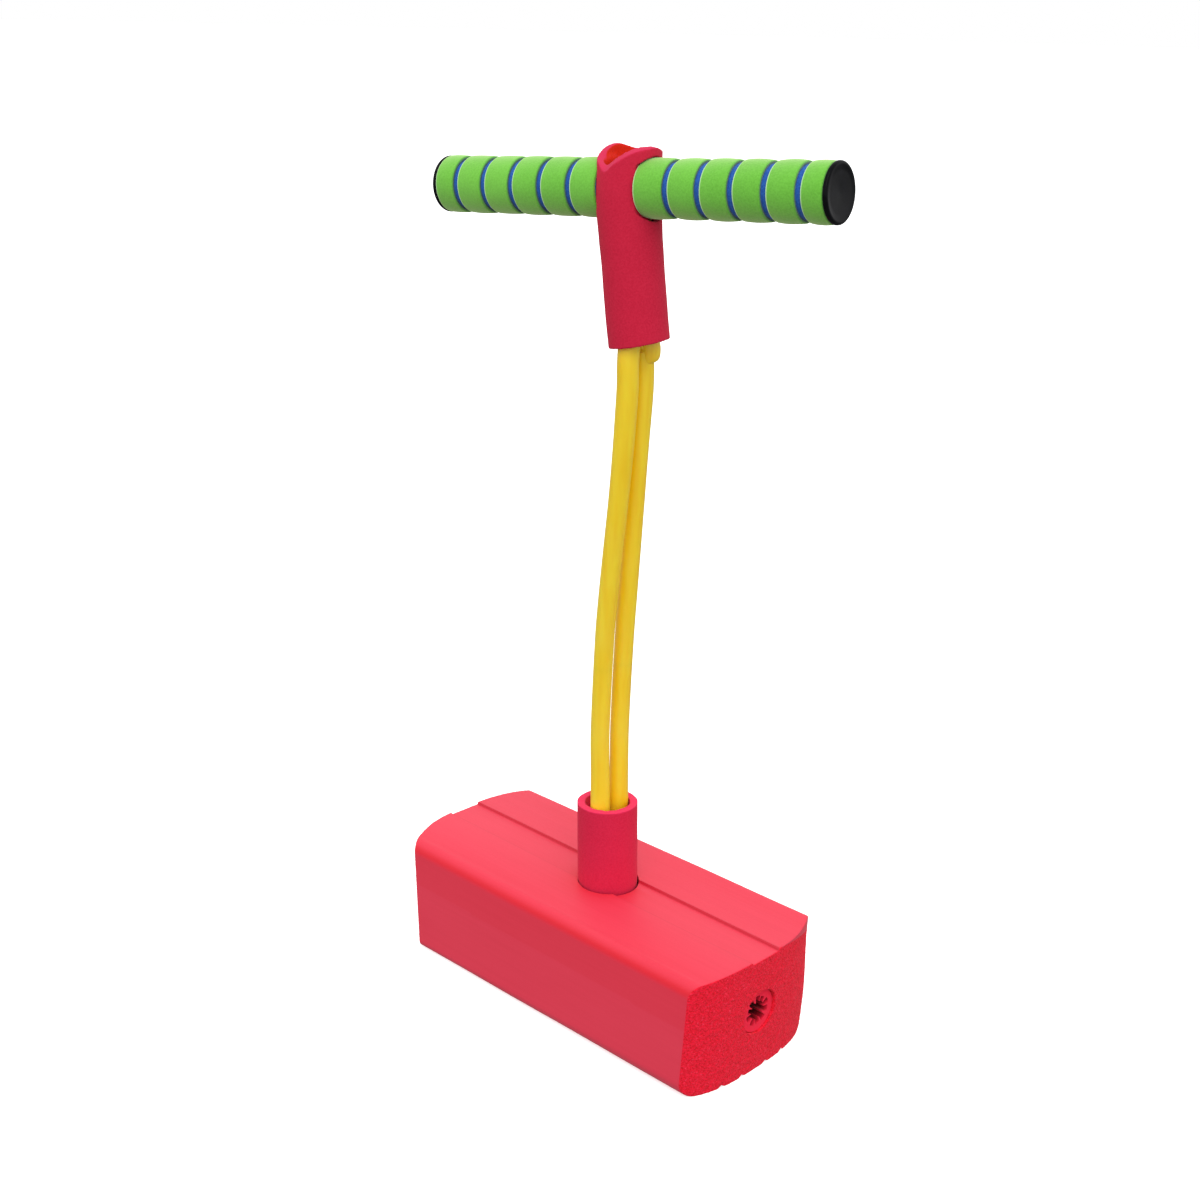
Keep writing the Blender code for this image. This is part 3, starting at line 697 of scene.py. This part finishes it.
def pair_middle(t):
    """The line midway between the strands, from the collar's top (t = 0) to the sleeve's foot (t = 1)."""
    start = Vector((COLLAR_X, 0.0, COLLAR_TOP_Z))
    end = SLEEVE @ Vector((0.0, 0.0, -SLEEVE_BELOW))
    rise = end.z - start.z
    start_slope = Vector((-4 * MM, -2 * MM, rise))
    end_slope = Vector((16 * MM, -2 * MM, rise))
    t2 = t * t
    t3 = t2 * t
    middle = start * (2 * t3 - 3 * t2 + 1) + start_slope * (t3 - 2 * t2 + t)
    return middle + end * (3 * t2 - 2 * t3) + end_slope * (t3 - t2)


def strand_foot(side):
    """Up one strand from under the anchor to the collar's top."""
    turn_radius = ANCHOR_RADIUS + 0.3 * MM + STRAND_RADIUS
    bend = Vector((HALF_SPACING, STRAND_BEND_Z - ANCHOR_Z))
    lift = math.atan2(bend.y, bend.x) - math.acos(turn_radius / bend.length)
    points = []
    for k in range(9):
        angle = -math.pi / 2 + (lift + math.pi / 2) * k / 8
        points.append(Vector((COLLAR_X, side * turn_radius * math.cos(angle), ANCHOR_Z + turn_radius * math.sin(angle))))
    corner = Vector((COLLAR_X, side * HALF_SPACING, STRAND_BEND_Z))
    before = corner + (points[-1] - corner).normalized() * BEND_RUN
    after = corner + Vector((0.0, 0.0, BEND_RUN))
    points += [before, (before + 2 * corner + after) / 4, after]
    for share in (0.0, 0.25, 0.5, 0.75):
        height = COLLAR_FOOT_Z + 4 * MM + share * (COLLAR_TOP_Z - COLLAR_FOOT_Z)
        along = Vector((0.0, 1.0, 0.0)).lerp(pair_direction(height), min(1.0, share * 2)).normalized()
        points.append(Vector((COLLAR_X, 0.0, height)) + HALF_SPACING * side * along)
    return points


def along_table(table, value):
    """Reads millimetres off a table of (value, millimetres)."""
    return float(np.interp(value, [a for a, _ in table], [b for _, b in table])) * MM


def strand_at(side, t):
    middle = pair_middle(t)
    spacing = FOOT_SPACING + (HALF_SPACING - FOOT_SPACING) * smooth_step(t, 0.0, 0.2)
    spacing += (SLEEVE_HALF_SPACING - spacing) * smooth_step(t, 0.97, 1.0)
    drift = DRIFT_SIDE * along_table(STRAND_DRIFT, t)
    return middle + drift + spacing * side * pair_direction(middle.z)


def strand_run(side, low, high, steps):
    """Along one strand between the shares low and high of the way from collar to sleeve."""
    return [strand_at(side, low + (high - low) * k / steps) for k in range(steps + 1)]


def strand_top(side):
    """(point, flatness) from the sleeve's foot to the top of the bar, where the tube is squeezed flat."""
    turn_radius = CORE_RADIUS + 0.3 * MM + FLAT_HALF_THICKNESS
    stations = [(SLEEVE @ Vector((0.0, side * SLEEVE_HALF_SPACING, -below * MM)), 0.0) for below in (75, 58, 42)]
    stations.append((SLEEVE @ Vector((0.0, side * 8.2 * MM, -28 * MM)), 0.45))
    stations.append((SLEEVE @ Vector((0.0, side * 9.8 * MM, -15 * MM)), 1.0))
    for k in range(1, 9):
        angle = math.radians(-24 + 114 * k / 8)
        point = Vector((0.0, side * turn_radius * math.cos(angle), turn_radius * math.sin(angle)))
        stations.append((BAR @ point, 1.0))
    return stations


def thicken(stations, each=3):
    """More stations on a smooth curve through the given (point, flatness) ones."""
    made = []
    count = len(stations)
    for i in range(count - 1):
        p0 = stations[max(0, i - 1)]
        p1 = stations[i]
        p2 = stations[i + 1]
        p3 = stations[min(count - 1, i + 2)]
        for k in range(each):
            t = k / each
            point = p1[0] * 2 + (p2[0] - p0[0]) * t
            point += (p0[0] * 2 - p1[0] * 5 + p2[0] * 4 - p3[0]) * t**2
            point += (p1[0] * 3 - p0[0] - p2[0] * 3 + p3[0]) * t**3
            made.append((point / 2, p1[1] + (p2[1] - p1[1]) * t))
    made.append(stations[-1])
    return made


def tube(name, stations, look, around=36):
    """A thick-walled rubber tube along (point, flatness) stations."""
    points = [point for point, _ in stations]
    outer, inner = [], []
    for i, (point, flat) in enumerate(stations):
        tangent = (points[min(len(points) - 1, i + 1)] - points[max(0, i - 1)]).normalized()
        yaw = smooth_step(point.z, TWIST_LOW_Z, TWIST_HIGH_Z) * (BAR_YAW - LOWER_TURN) + LOWER_TURN
        along_bar = Vector((math.cos(yaw), math.sin(yaw), 0.0))
        across = (along_bar - tangent * along_bar.dot(tangent)).normalized()
        thick = tangent.cross(across)
        radius = along_table(STRETCHED_RADII, point.z)
        width = radius + (FLAT_HALF_WIDTH - radius) * flat
        depth = radius + (FLAT_HALF_THICKNESS - radius) * flat
        for loops, shrink in ((outer, 0.0), (inner, STRAND_RADIUS - STRAND_BORE)):
            w = width - shrink
            d = max(0.3 * MM, depth - shrink)
            turns = [2 * math.pi * k / around for k in range(around)]
            loops.append([point + across * w * math.cos(a) + thick * d * math.sin(a) for a in turns])
    made = loft(name, outer + list(reversed(inner)), look, closed=True, sharp=60)
    keep_place(made)
    return made


def height_share(z):
    """The share of the way from collar to sleeve at height z."""
    low, high = 0.0, 1.0
    for _ in range(40):
        middle = (low + high) / 2
        if pair_middle(middle).z < z:
            low = middle
        else:
            high = middle
    return low


def make_strands(look):
    """The loop in three lengths: the lower U, and the two runs above it that meet in the joiner."""
    split = height_share(SPLIT_Z)
    far_foot = strand_foot(1) + strand_run(1, 0.0, split, 10)
    near_foot = strand_foot(-1) + strand_run(-1, 0.0, split, 10)
    lower = [(p, 0.0) for p in list(reversed(far_foot)) + near_foot[1:]]
    joiner_low = height_share(JOINER_Z)
    far = [(p, 0.0) for p in strand_run(1, split, joiner_low, 16)]
    near = [(p, 0.0) for p in strand_run(-1, split, 1.0, 22)] + strand_top(-1)
    over = list(reversed(strand_top(1)))[1:] + [(strand_at(1, 1.0), 0.0)]
    return [
        tube("tube_lower", thicken(lower), look),
        tube("tube_far", thicken(far), look),
        tube("tube_near", thicken(near + over), look),
    ]


JOINER_Z = 444.5 * MM
JOINER_HALF_LENGTH = 7.5 * MM
JOINER_RADIUS = 7.0 * MM
JOINER_ASIDE = 3.6 * MM


def make_joiner(look):
    """The barrel that joins the tube's ends: a soft lump on the far strand's outer side."""
    share = height_share(JOINER_Z)
    high = min(1.0, share + 0.01)
    along = (strand_at(1, high) - strand_at(1, high - 0.02)).normalized()
    aside = Vector((0.72, 0.69, 0.0))
    loops = []
    around = 40
    across = (aside - along * aside.dot(along)).normalized()
    over = along.cross(across)
    for k in range(19):
        a = math.pi * k / 18
        round_end = math.sin(a) ** 0.5 if 0 < k < 18 else 0.0
        centre = strand_at(1, share) - along * JOINER_HALF_LENGTH * math.cos(a)
        centre += across * JOINER_ASIDE * (0.2 + 0.8 * round_end)
        swell = JOINER_RADIUS * (0.62 + 0.38 * round_end)
        turns = [2 * math.pi * j / around for j in range(around)]
        loops.append([centre + across * swell * math.cos(b) + over * swell * math.sin(b) for b in turns])
    joiner = loft("tube_joiner", loops, look, sharp=60)
    push(joiner, 0.2 * MM, 180.0, 8)
    keep_place(joiner)
    return joiner


# ---------------------------------------------------------------- foam collar and sleeve


def make_collar(look):
    """A short foam tube cut by hand, standing a little askew in its hole."""
    around = 128
    tall = COLLAR_TOP_Z - COLLAR_FOOT_Z + COLLAR_EXTRA
    rows = [0.3 * MM] + list(np.linspace(1.2 * MM, tall - 1.2 * MM, 34)) + [tall - 0.3 * MM]
    profile = [(z, COLLAR_RADIUS) for z in rows]
    profile += [(tall, COLLAR_RADIUS - 0.5 * MM)]
    profile += [(tall, r) for r in np.linspace(COLLAR_RADIUS - 1.2 * MM, COLLAR_BORE + 0.8 * MM, 6)]
    profile += [(tall - 0.3 * MM, COLLAR_BORE), (tall / 2, COLLAR_BORE), (0.3 * MM, COLLAR_BORE)]
    profile += [(0.0, r) for r in np.linspace(COLLAR_BORE + 0.5 * MM, COLLAR_RADIUS - 0.5 * MM, 5)]
    loops = []
    for z, radius in profile:
        loop = []
        for k in range(around):
            a = 2 * math.pi * k / around
            ragged = 0.3 * MM * noise.noise(Vector((4 * math.cos(a), 4 * math.sin(a), z * 90)))
            tilt = 0.8 * MM * math.cos(a - math.radians(-20)) * (1 - z / tall)
            loop.append((radius * math.cos(a), radius * math.sin(a), z + ragged + tilt))
        loops.append(loop)
    place = Matrix.Translation((COLLAR_X, 0.0, COLLAR_FOOT_Z)) @ Matrix.Rotation(-COLLAR_LEAN, 4, "Y")
    collar = loft("foam_collar", loops, look, place, closed=True, sharp=55)
    push(collar, 0.18 * MM, 70.0, 11)
    local = positions(collar.data)
    inverse = np.array(place.inverted())
    up = (local @ inverse[:3, :3].T + inverse[:3, 3])[:, 2]
    paint(collar, "cut_face_and_highlight", smooth_step(up, tall - 0.75 * MM, tall - 0.2 * MM))
    return collar


# the mouth's outer and inner edges: (angle round the sleeve in degrees, millimetres above the bar's axis)
MOUTH_OUTER = (
    (0, 21.2), (34, 19.2), (75, 21.3), (115, 21.8), (150, 25.3), (180, 23.4),
    (206, 19.0), (232, 15.4), (253, 10.2), (272, 14.0), (306, 19.2), (335, 20.9),
)
MOUTH_INNER = (
    (0, 22.3), (34, 19.8), (75, 21.3), (112, 21.6), (148, 24.6), (172, 23.9),
    (193, 21.4), (207, 18.2), (226, 15.6), (246, 14.2), (268, 17.2), (291, 20.1), (315, 22.2), (340, 22.6),
)
# how far the sleeve's centre line strays, in millimetres, to the side the grips open on: (height, shift)
SLEEVE_HEIGHTS = (-92.5, -60.0, -30.0, 0.0, 22.0)
SLEEVE_SHIFTS = (-0.3, -1.1, -1.4, -0.4, 1.8)
SHIFT_SIDE = Vector((0.816, 0.577))
FOOT_MIDDLE = -88.6 * MM
FOOT_SLANT = 1.8 * MM


def sleeve_shift(z):
    return float(np.interp(z / MM, SLEEVE_HEIGHTS, SLEEVE_SHIFTS)) * MM


def dented(x, y, z):
    """Holds the bore's wall back from the ends of both grips."""
    start = RIGHT_HOLE_START if x > 0 else LEFT_HOLE_START
    limit = start - DENT_WALL
    limit += (SLEEVE_BORE - limit) * smooth_step(math.hypot(y, z), GRIP_HOLE_RADIUS, GRIP_HOLE_RADIUS + 3 * MM)
    return max(-limit, min(limit, x))


def sleeve_ring(radius, height_of, around):
    """A loop round the sleeve whose height may change with the angle."""
    loop = []
    for k in range(around):
        degrees = 360 * k / around
        a = math.radians(degrees)
        z = height_of(degrees)
        shift = sleeve_shift(z)
        swell = 1.9 * MM * math.exp(-((z / (24 * MM)) ** 2)) * max(0.0, math.cos(a - math.radians(212))) ** 2
        r = radius + swell
        x = r * math.cos(a)
        y = r * math.sin(a)
        if radius == SLEEVE_BORE:
            x = dented(x, y, z)
        x += SHIFT_SIDE.x * shift
        y += SHIFT_SIDE.y * shift
        loop.append((x, y, z))
    return loop


def make_sleeve(look):
    """A foam tube with a notched, folded mouth, pierced by both grips."""
    around = 144
    wall = []
    rows = 56

    def wall_loop(radius, mouth, share):
        def height(degrees):
            a = math.radians(degrees)
            ragged = 0.35 * MM * noise.noise(Vector((9 * math.cos(a), 9 * math.sin(a), 2.0)))
            low = FOOT_MIDDLE + FOOT_SLANT * math.cos(a - math.radians(35)) + ragged
            return low + (round_curve(mouth, degrees) * MM - low) * share

        return sleeve_ring(radius, height, around)

    for k in range(rows + 1):
        wall.append(wall_loop(SLEEVE_RADIUS, MOUTH_OUTER, k / rows))
    for k in range(rows + 1):
        wall.append(wall_loop(SLEEVE_BORE, MOUTH_INNER, 1 - k / rows))
    sleeve = loft("foam_sleeve", wall, None, SLEEVE, closed=True, sharp=0)
    holes = [turned("core_hole", [(x, CORE_HOLE_RADIUS) for x in (-40 * MM, 40 * MM)], None, BAR, 48)]
    for side, start in ((-1, LEFT_HOLE_START), (1, RIGHT_HOLE_START)):
        ends = (side * start, side * (SLEEVE_RADIUS + 10 * MM))
        slack = RIGHT_HOLE_SLACK if side > 0 else Vector()
        place = BAR @ Matrix.Translation(slack)
        holes.append(turned("grip_hole", [(x, GRIP_HOLE_RADIUS + slack.length) for x in ends], None, place, 64))
    cut_away(sleeve, holes)
    remesh = sleeve.modifiers.new("remesh", "REMESH")
    remesh.mode = "VOXEL"
    remesh.voxel_size = 0.6 * MM
    soften = sleeve.modifiers.new("soften", "SMOOTH")
    soften.factor = 0.5
    soften.iterations = 2
    applied(sleeve)
    push(sleeve, 0.22 * MM, 60.0, 21)
    inverse = np.array(SLEEVE.inverted())
    local = positions(sleeve.data) @ inverse[:3, :3].T + inverse[:3, 3]
    facing = normals(sleeve.data) @ np.array(SLEEVE)[:3, :3]
    angle = np.degrees(np.arctan2(local[:, 1], local[:, 0])) % 360
    radius = np.hypot(local[:, 0], local[:, 1])
    share = np.clip((radius - SLEEVE_BORE) / (SLEEVE_RADIUS - SLEEVE_BORE), 0, 1)
    outer = np.array([round_curve(MOUTH_OUTER, a) for a in angle])
    inner = np.array([round_curve(MOUTH_INNER, a) for a in angle])
    top = (inner + (outer - inner) * share) * MM
    near_top = smooth_step(local[:, 2] - top, -2.2 * MM, -0.6 * MM)
    paint(sleeve, "cut_face_and_highlight", near_top * smooth_step(facing[:, 2], 0.15, 0.6))
    outward = np.sum(facing[:, :2] * local[:, :2], axis=1) / radius
    inner_wall = smooth_step(-outward, 0.35, 0.85)
    # Painted light: the bore's inner wall near the mouth is painted a glowing orange-red, standing for light bounced
    # inside the red foam.
    paint(sleeve, "painted_bore_light", inner_wall * smooth_step(local[:, 2], 0.0, 6 * MM))
    return dress(sleeve, look, 60)


# ---------------------------------------------------------------- bar and grips


def band_profile(side, number):
    """(x, radius) of one green ring: barrel-shaped, with soft edges and straight sawn sides."""
    start = GRIP_START + (number - 1) * BAND_PITCH
    end = GRIP_END if number == BANDS else start + BAND_PITCH
    low = start + (GROOVE_HALF_WIDTH if number > 1 else 0.0)
    high = end - (GROOVE_HALF_WIDTH if number < BANDS else 0.0)
    droop = (0.55 if side > 0 else 0.35) * MM
    if side < 0 and number == 1:
        low = LEFT_HOLE_START + 0.4 * MM
    middle = (low + high) / 2
    half = (high - low) / 2
    profile = [(low, LAYER_RADIUS + 0.1 * MM), (low, LAYER_RADIUS + 0.6 * MM), (low, GRIP_RADIUS - 1.25 * MM)]
    for k in range(25):
        share = math.sin(math.pi * (k / 24 - 0.5))
        edge = 0.45 * MM * max(0.0, (abs(share) - 0.9) / 0.1) ** 2
        profile.append((middle + half * share, GRIP_RADIUS + 0.1 * MM - droop * share**2 - edge))
    profile += [(high, GRIP_RADIUS - 1.25 * MM), (high, LAYER_RADIUS + 0.6 * MM), (high, LAYER_RADIUS + 0.1 * MM)]
    return [(side * x, radius) for x, radius in profile]


def make_band(side, label, number, look):
    name = f"green_ring_{label}_{number}"
    seed = number + 10 * side
    band = turned(name, band_profile(side, number), look, BAR, closed=True, wobble=0.22 * MM, seed=seed, sharp=50)
    inverse = np.array(BAR.inverted())
    local = positions(band.data) @ inverse[:3, :3].T + inverse[:3, 3]
    radius = np.hypot(local[:, 1], local[:, 2])
    low = local[:, 0].min()
    high = local[:, 0].max()
    outside = smooth_step(radius, GRIP_RADIUS - 1.5 * MM, GRIP_RADIUS - 0.9 * MM)
    # Painted highlight: a pale strip along each ring's low-side edge.
    pale = (1 - smooth_step(local[:, 0] - low, 0.5 * MM, 1.0 * MM)) * smooth_step(radius, 15.5 * MM, 15.8 * MM)
    paint(band, "cut_face_and_highlight", pale)
    # Painted shade: the wall on each ring's high side, down in the groove, is painted dark teal, less towards the
    # outer edge.
    wall = smooth_step(local[:, 0], high - 0.5 * MM, high - 0.1 * MM) * (1 - 0.75 * outside)
    paint(band, "painted_groove_shade", wall * (0.0 if side < 0 and number == 1 else 1.0))
    return band


def overlay(look, name, colour):
    """Lays another colour over a look where a stored number says."""
    tree = look.node_tree
    shader = tree.nodes["Principled BSDF"]
    before = shader.inputs["Base Color"].links[0].from_socket
    tree.links.new(colour_mix(tree, stored(tree, name), before, colour), shader.inputs["Base Color"])
    return look


def green_look():
    # The pale green given as the cut colour is a painted highlight on the rings' edges.
    made = foam_look(
        "green_foam", (0.155, 0.54, 0.045), (0.125, 0.46, 0.034), (0.21, 0.64, 0.07), (0.62, 0.96, 0.52),
        950.0, 0.12 * MM, 1.0,
    )
    made.node_tree.nodes["Principled BSDF"].inputs["Sheen Tint"].default_value = (0.8, 1.0, 0.55, 1.0)
    # Painted shade on the groove walls.
    return overlay(made, "painted_groove_shade", (0.01, 0.06, 0.10))


def make_layer(side, label, look):
    """The blue tube under the rings."""
    start = LEFT_HOLE_START + 0.4 * MM if side < 0 else GRIP_START
    profile = [(start, CORE_RADIUS + 0.3 * MM)]
    profile += [(x, LAYER_RADIUS) for x in np.linspace(start, GRIP_END, 60)]
    profile += [(GRIP_END, CORE_RADIUS + 0.3 * MM)]
    profile = [(side * x, radius) for x, radius in profile]
    layer = turned("blue_tube_" + label, profile, look, BAR, closed=True, wobble=0.1 * MM, seed=side, sharp=60)
    paint(layer, "cut_face_and_highlight", np.zeros(len(layer.data.vertices)))
    return layer


def make_cap(side, label, look):
    """A glossy end cap: a rolled rim, a bevel and a flat face with a shallow ring."""
    back = GRIP_END + 0.3 * MM
    profile = [(back - 15 * MM, 5.4 * MM), (back - 14.5 * MM, 5.7 * MM), (back, 5.7 * MM), (back, CAP_RADIUS - 0.8 * MM)]
    for k in range(7):
        a = math.radians(180 - 90 * k / 6)
        profile.append((back + 0.7 * MM + 0.7 * MM * math.cos(a), CAP_RADIUS - 0.7 * MM + 0.7 * MM * math.sin(a)))
    for k in range(1, 9):
        a = math.radians(90 - 90 * k / 8)
        profile.append((CAP_FACE - 1.5 * MM + 1.5 * MM * math.cos(a), CAP_RADIUS - 1.5 * MM + 1.5 * MM * math.sin(a)))
    profile += [(CAP_FACE - 0.05 * MM, CAP_RADIUS - 2.4 * MM), (CAP_FACE - 0.25 * MM, CAP_RADIUS - 3.2 * MM)]
    profile += [(CAP_FACE - (0.25 + 0.1 * k) * MM, (CAP_RADIUS - 3.2 * MM) * (1 - k / 6)) for k in range(1, 6)]
    profile.append((CAP_FACE - 0.8 * MM, 0.2 * MM))
    profile = [(side * x, radius) for x, radius in profile]
    return turned("end_cap_" + label + "_gloss", profile, look, BAR, sharp=40)


# ---------------------------------------------------------------- stage


def make_camera():
    camera = bpy.data.objects.new("camera", bpy.data.cameras.new("camera"))
    bpy.context.scene.collection.objects.link(camera)
    turn = Matrix.Rotation(math.radians(43.979), 4, "Z") @ Matrix.Rotation(math.radians(90 - 19.451), 4, "X")
    roll = Matrix.Rotation(math.radians(1.3985), 4, "Z")
    camera.matrix_world = Matrix.Translation((0.69836, -0.73662, 0.63608)) @ turn @ roll
    camera.data.sensor_width = 36.0
    camera.data.lens = 51.0
    camera.data.shift_x = 0.00285
    camera.data.shift_y = 0.00364
    bpy.context.scene.camera = camera


def make_world():
    """White from above and all round, dimmer from below."""
    world = bpy.data.worlds.new("studio")
    bpy.context.scene.world = world
    world.use_nodes = True
    tree = world.node_tree
    direction = put(tree, "TexCoord").outputs["Generated"]
    height = put(tree, "SeparateXYZ", {"Vector": direction}).outputs["Z"]
    tone = colour_mix(tree, ramp(tree, height, -0.12, 0.0), (0.30, 0.30, 0.31), (1.0, 1.0, 1.0))
    seen = put(tree, "LightPath").outputs["Is Camera Ray"]
    tone = colour_mix(tree, seen, tone, (1.0, 1.0, 1.0))
    tree.links.new(tone, tree.nodes["Background"].inputs["Color"])


def make_lights():
    sun = bpy.data.lights.new("soft_key", "SUN")
    sun.energy = 1.1
    sun.angle = math.radians(50)
    lamp = bpy.data.objects.new("soft_key", sun)
    lamp.rotation_euler = (math.radians(40), 0.0, math.radians(46))
    bpy.context.scene.collection.objects.link(lamp)


def make_floor():
    """A wide pale disc that lights nothing, so that the world alone sets the object's underside."""
    around = 96
    size = 40.0
    rim = [(size * math.cos(2 * math.pi * k / around), size * math.sin(2 * math.pi * k / around), 0.0)
           for k in range(around)]
    made, tree, shader = start_look("floor_paper")
    place = place_of(tree, False)
    tone = colour_mix(tree, speckle(tree, place, 30.0), (0.93, 0.93, 0.93), (0.95, 0.95, 0.95))
    tree.links.new(tone, shader.inputs["Base Color"])
    set_shader(shader, Roughness=1.0, Specular_IOR_Level=0.0, Emission_Strength=0.55)
    shader.inputs["Emission Color"].default_value = (1.0, 1.0, 1.0, 1.0)
    mesh = bpy.data.meshes.new("floor")
    mesh.from_pydata([(x, y, -0.2 * MM) for x, y, _ in rim], [], [tuple(range(around))])
    mesh.materials.append(made)
    floor = bpy.data.objects.new("floor", mesh)
    bpy.context.scene.collection.objects.link(floor)
    floor.visible_diffuse = False
    floor.visible_glossy = False


# ---------------------------------------------------------------- assembly


def place_piece(piece, nodes, body):
    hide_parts(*nodes)
    if isinstance(body, str):
        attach(piece, body)


def anchor_look():
    made = foam_look(
        "anchor_foam", (0.62, 0.008, 0.03), (0.46, 0.004, 0.018), (0.66, 0.012, 0.04), (0.92, 0.016, 0.055),
        800.0, 0.15 * MM, 0.05,
    )
    # Painted shade deep inside the star bore.
    return overlay(made, "painted_bore_shade", (0.09, 0.0, 0.003))


def build():
    make_camera()
    make_world()
    make_lights()
    make_floor()
    scene = bpy.context.scene
    scene.view_settings.view_transform = "Standard"

    place_piece(make_block(block_look()), ["base_block"], "block")
    place_piece(make_anchor(anchor_look()), ["anchor_tube"], "block")

    # The last colour is the pale tone of the painted highlight streaks.
    rubber = rubber_look("tube_rubber", (0.95, 0.62, 0.008), (0.98, 0.70, 0.018), (0.99, 0.76, 0.070))
    lower, far, near = make_strands(rubber)
    for piece in (lower, far, near):
        place_piece(piece, ["bungee_loop"], None)
    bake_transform(lower)
    for piece in (far, near):
        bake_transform(piece)
    place_piece(make_joiner(rubber), ["loop_joiner"], "sleeve")

    collar_foam = foam_look(
        "collar_foam", (0.66, 0.016, 0.062), (0.61, 0.012, 0.052), (0.71, 0.022, 0.072), (0.84, 0.034, 0.115),
        900.0, 0.12 * MM, 0.03,
    )
    place_piece(make_collar(collar_foam), ["lower_collar"], "collar")
    sleeve_foam = foam_look(
        "sleeve_foam", (0.625, 0.015, 0.052), (0.57, 0.012, 0.044), (0.68, 0.021, 0.062), (0.63, 0.027, 0.088),
        900.0, 0.12 * MM, 0.03,
    )
    # Painted light: a glowing orange-red on the bore's inner wall near the mouth.
    overlay(sleeve_foam, "painted_bore_light", (0.62, 0.018, 0.004))
    place_piece(make_sleeve(sleeve_foam), ["upper_sleeve"], "sleeve")

    green = green_look()
    blue = foam_look(
        "blue_foam", (0.026, 0.125, 0.50), (0.015, 0.085, 0.38), (0.035, 0.15, 0.56), (0.03, 0.15, 0.55),
        900.0, 0.2 * MM, 0.15,
    )
    gloss = plastic_look("cap_gloss", (0.0040, 0.0042, 0.0050), (0.007, 0.007, 0.009), 0.10, 0.16)
    for side, label in ((-1, "left"), (1, "right")):
        place_piece(make_layer(side, label, blue), ["grip_layer_" + label], "handle")
        for number in range(1, BANDS + 1):
            band = make_band(side, label, number, green)
            place_piece(band, [f"grip_band_{label}_{number}"], "handle")
        place_piece(make_cap(side, label, gloss), ["end_cap_" + label], "handle")
    core = frame["nodes"]["handle_core"]
    core.data.materials.clear()
    core.data.materials.append(plastic_look("core_plastic", (0.70, 0.70, 0.67), (0.60, 0.60, 0.56), 0.35, 0.5))


build()
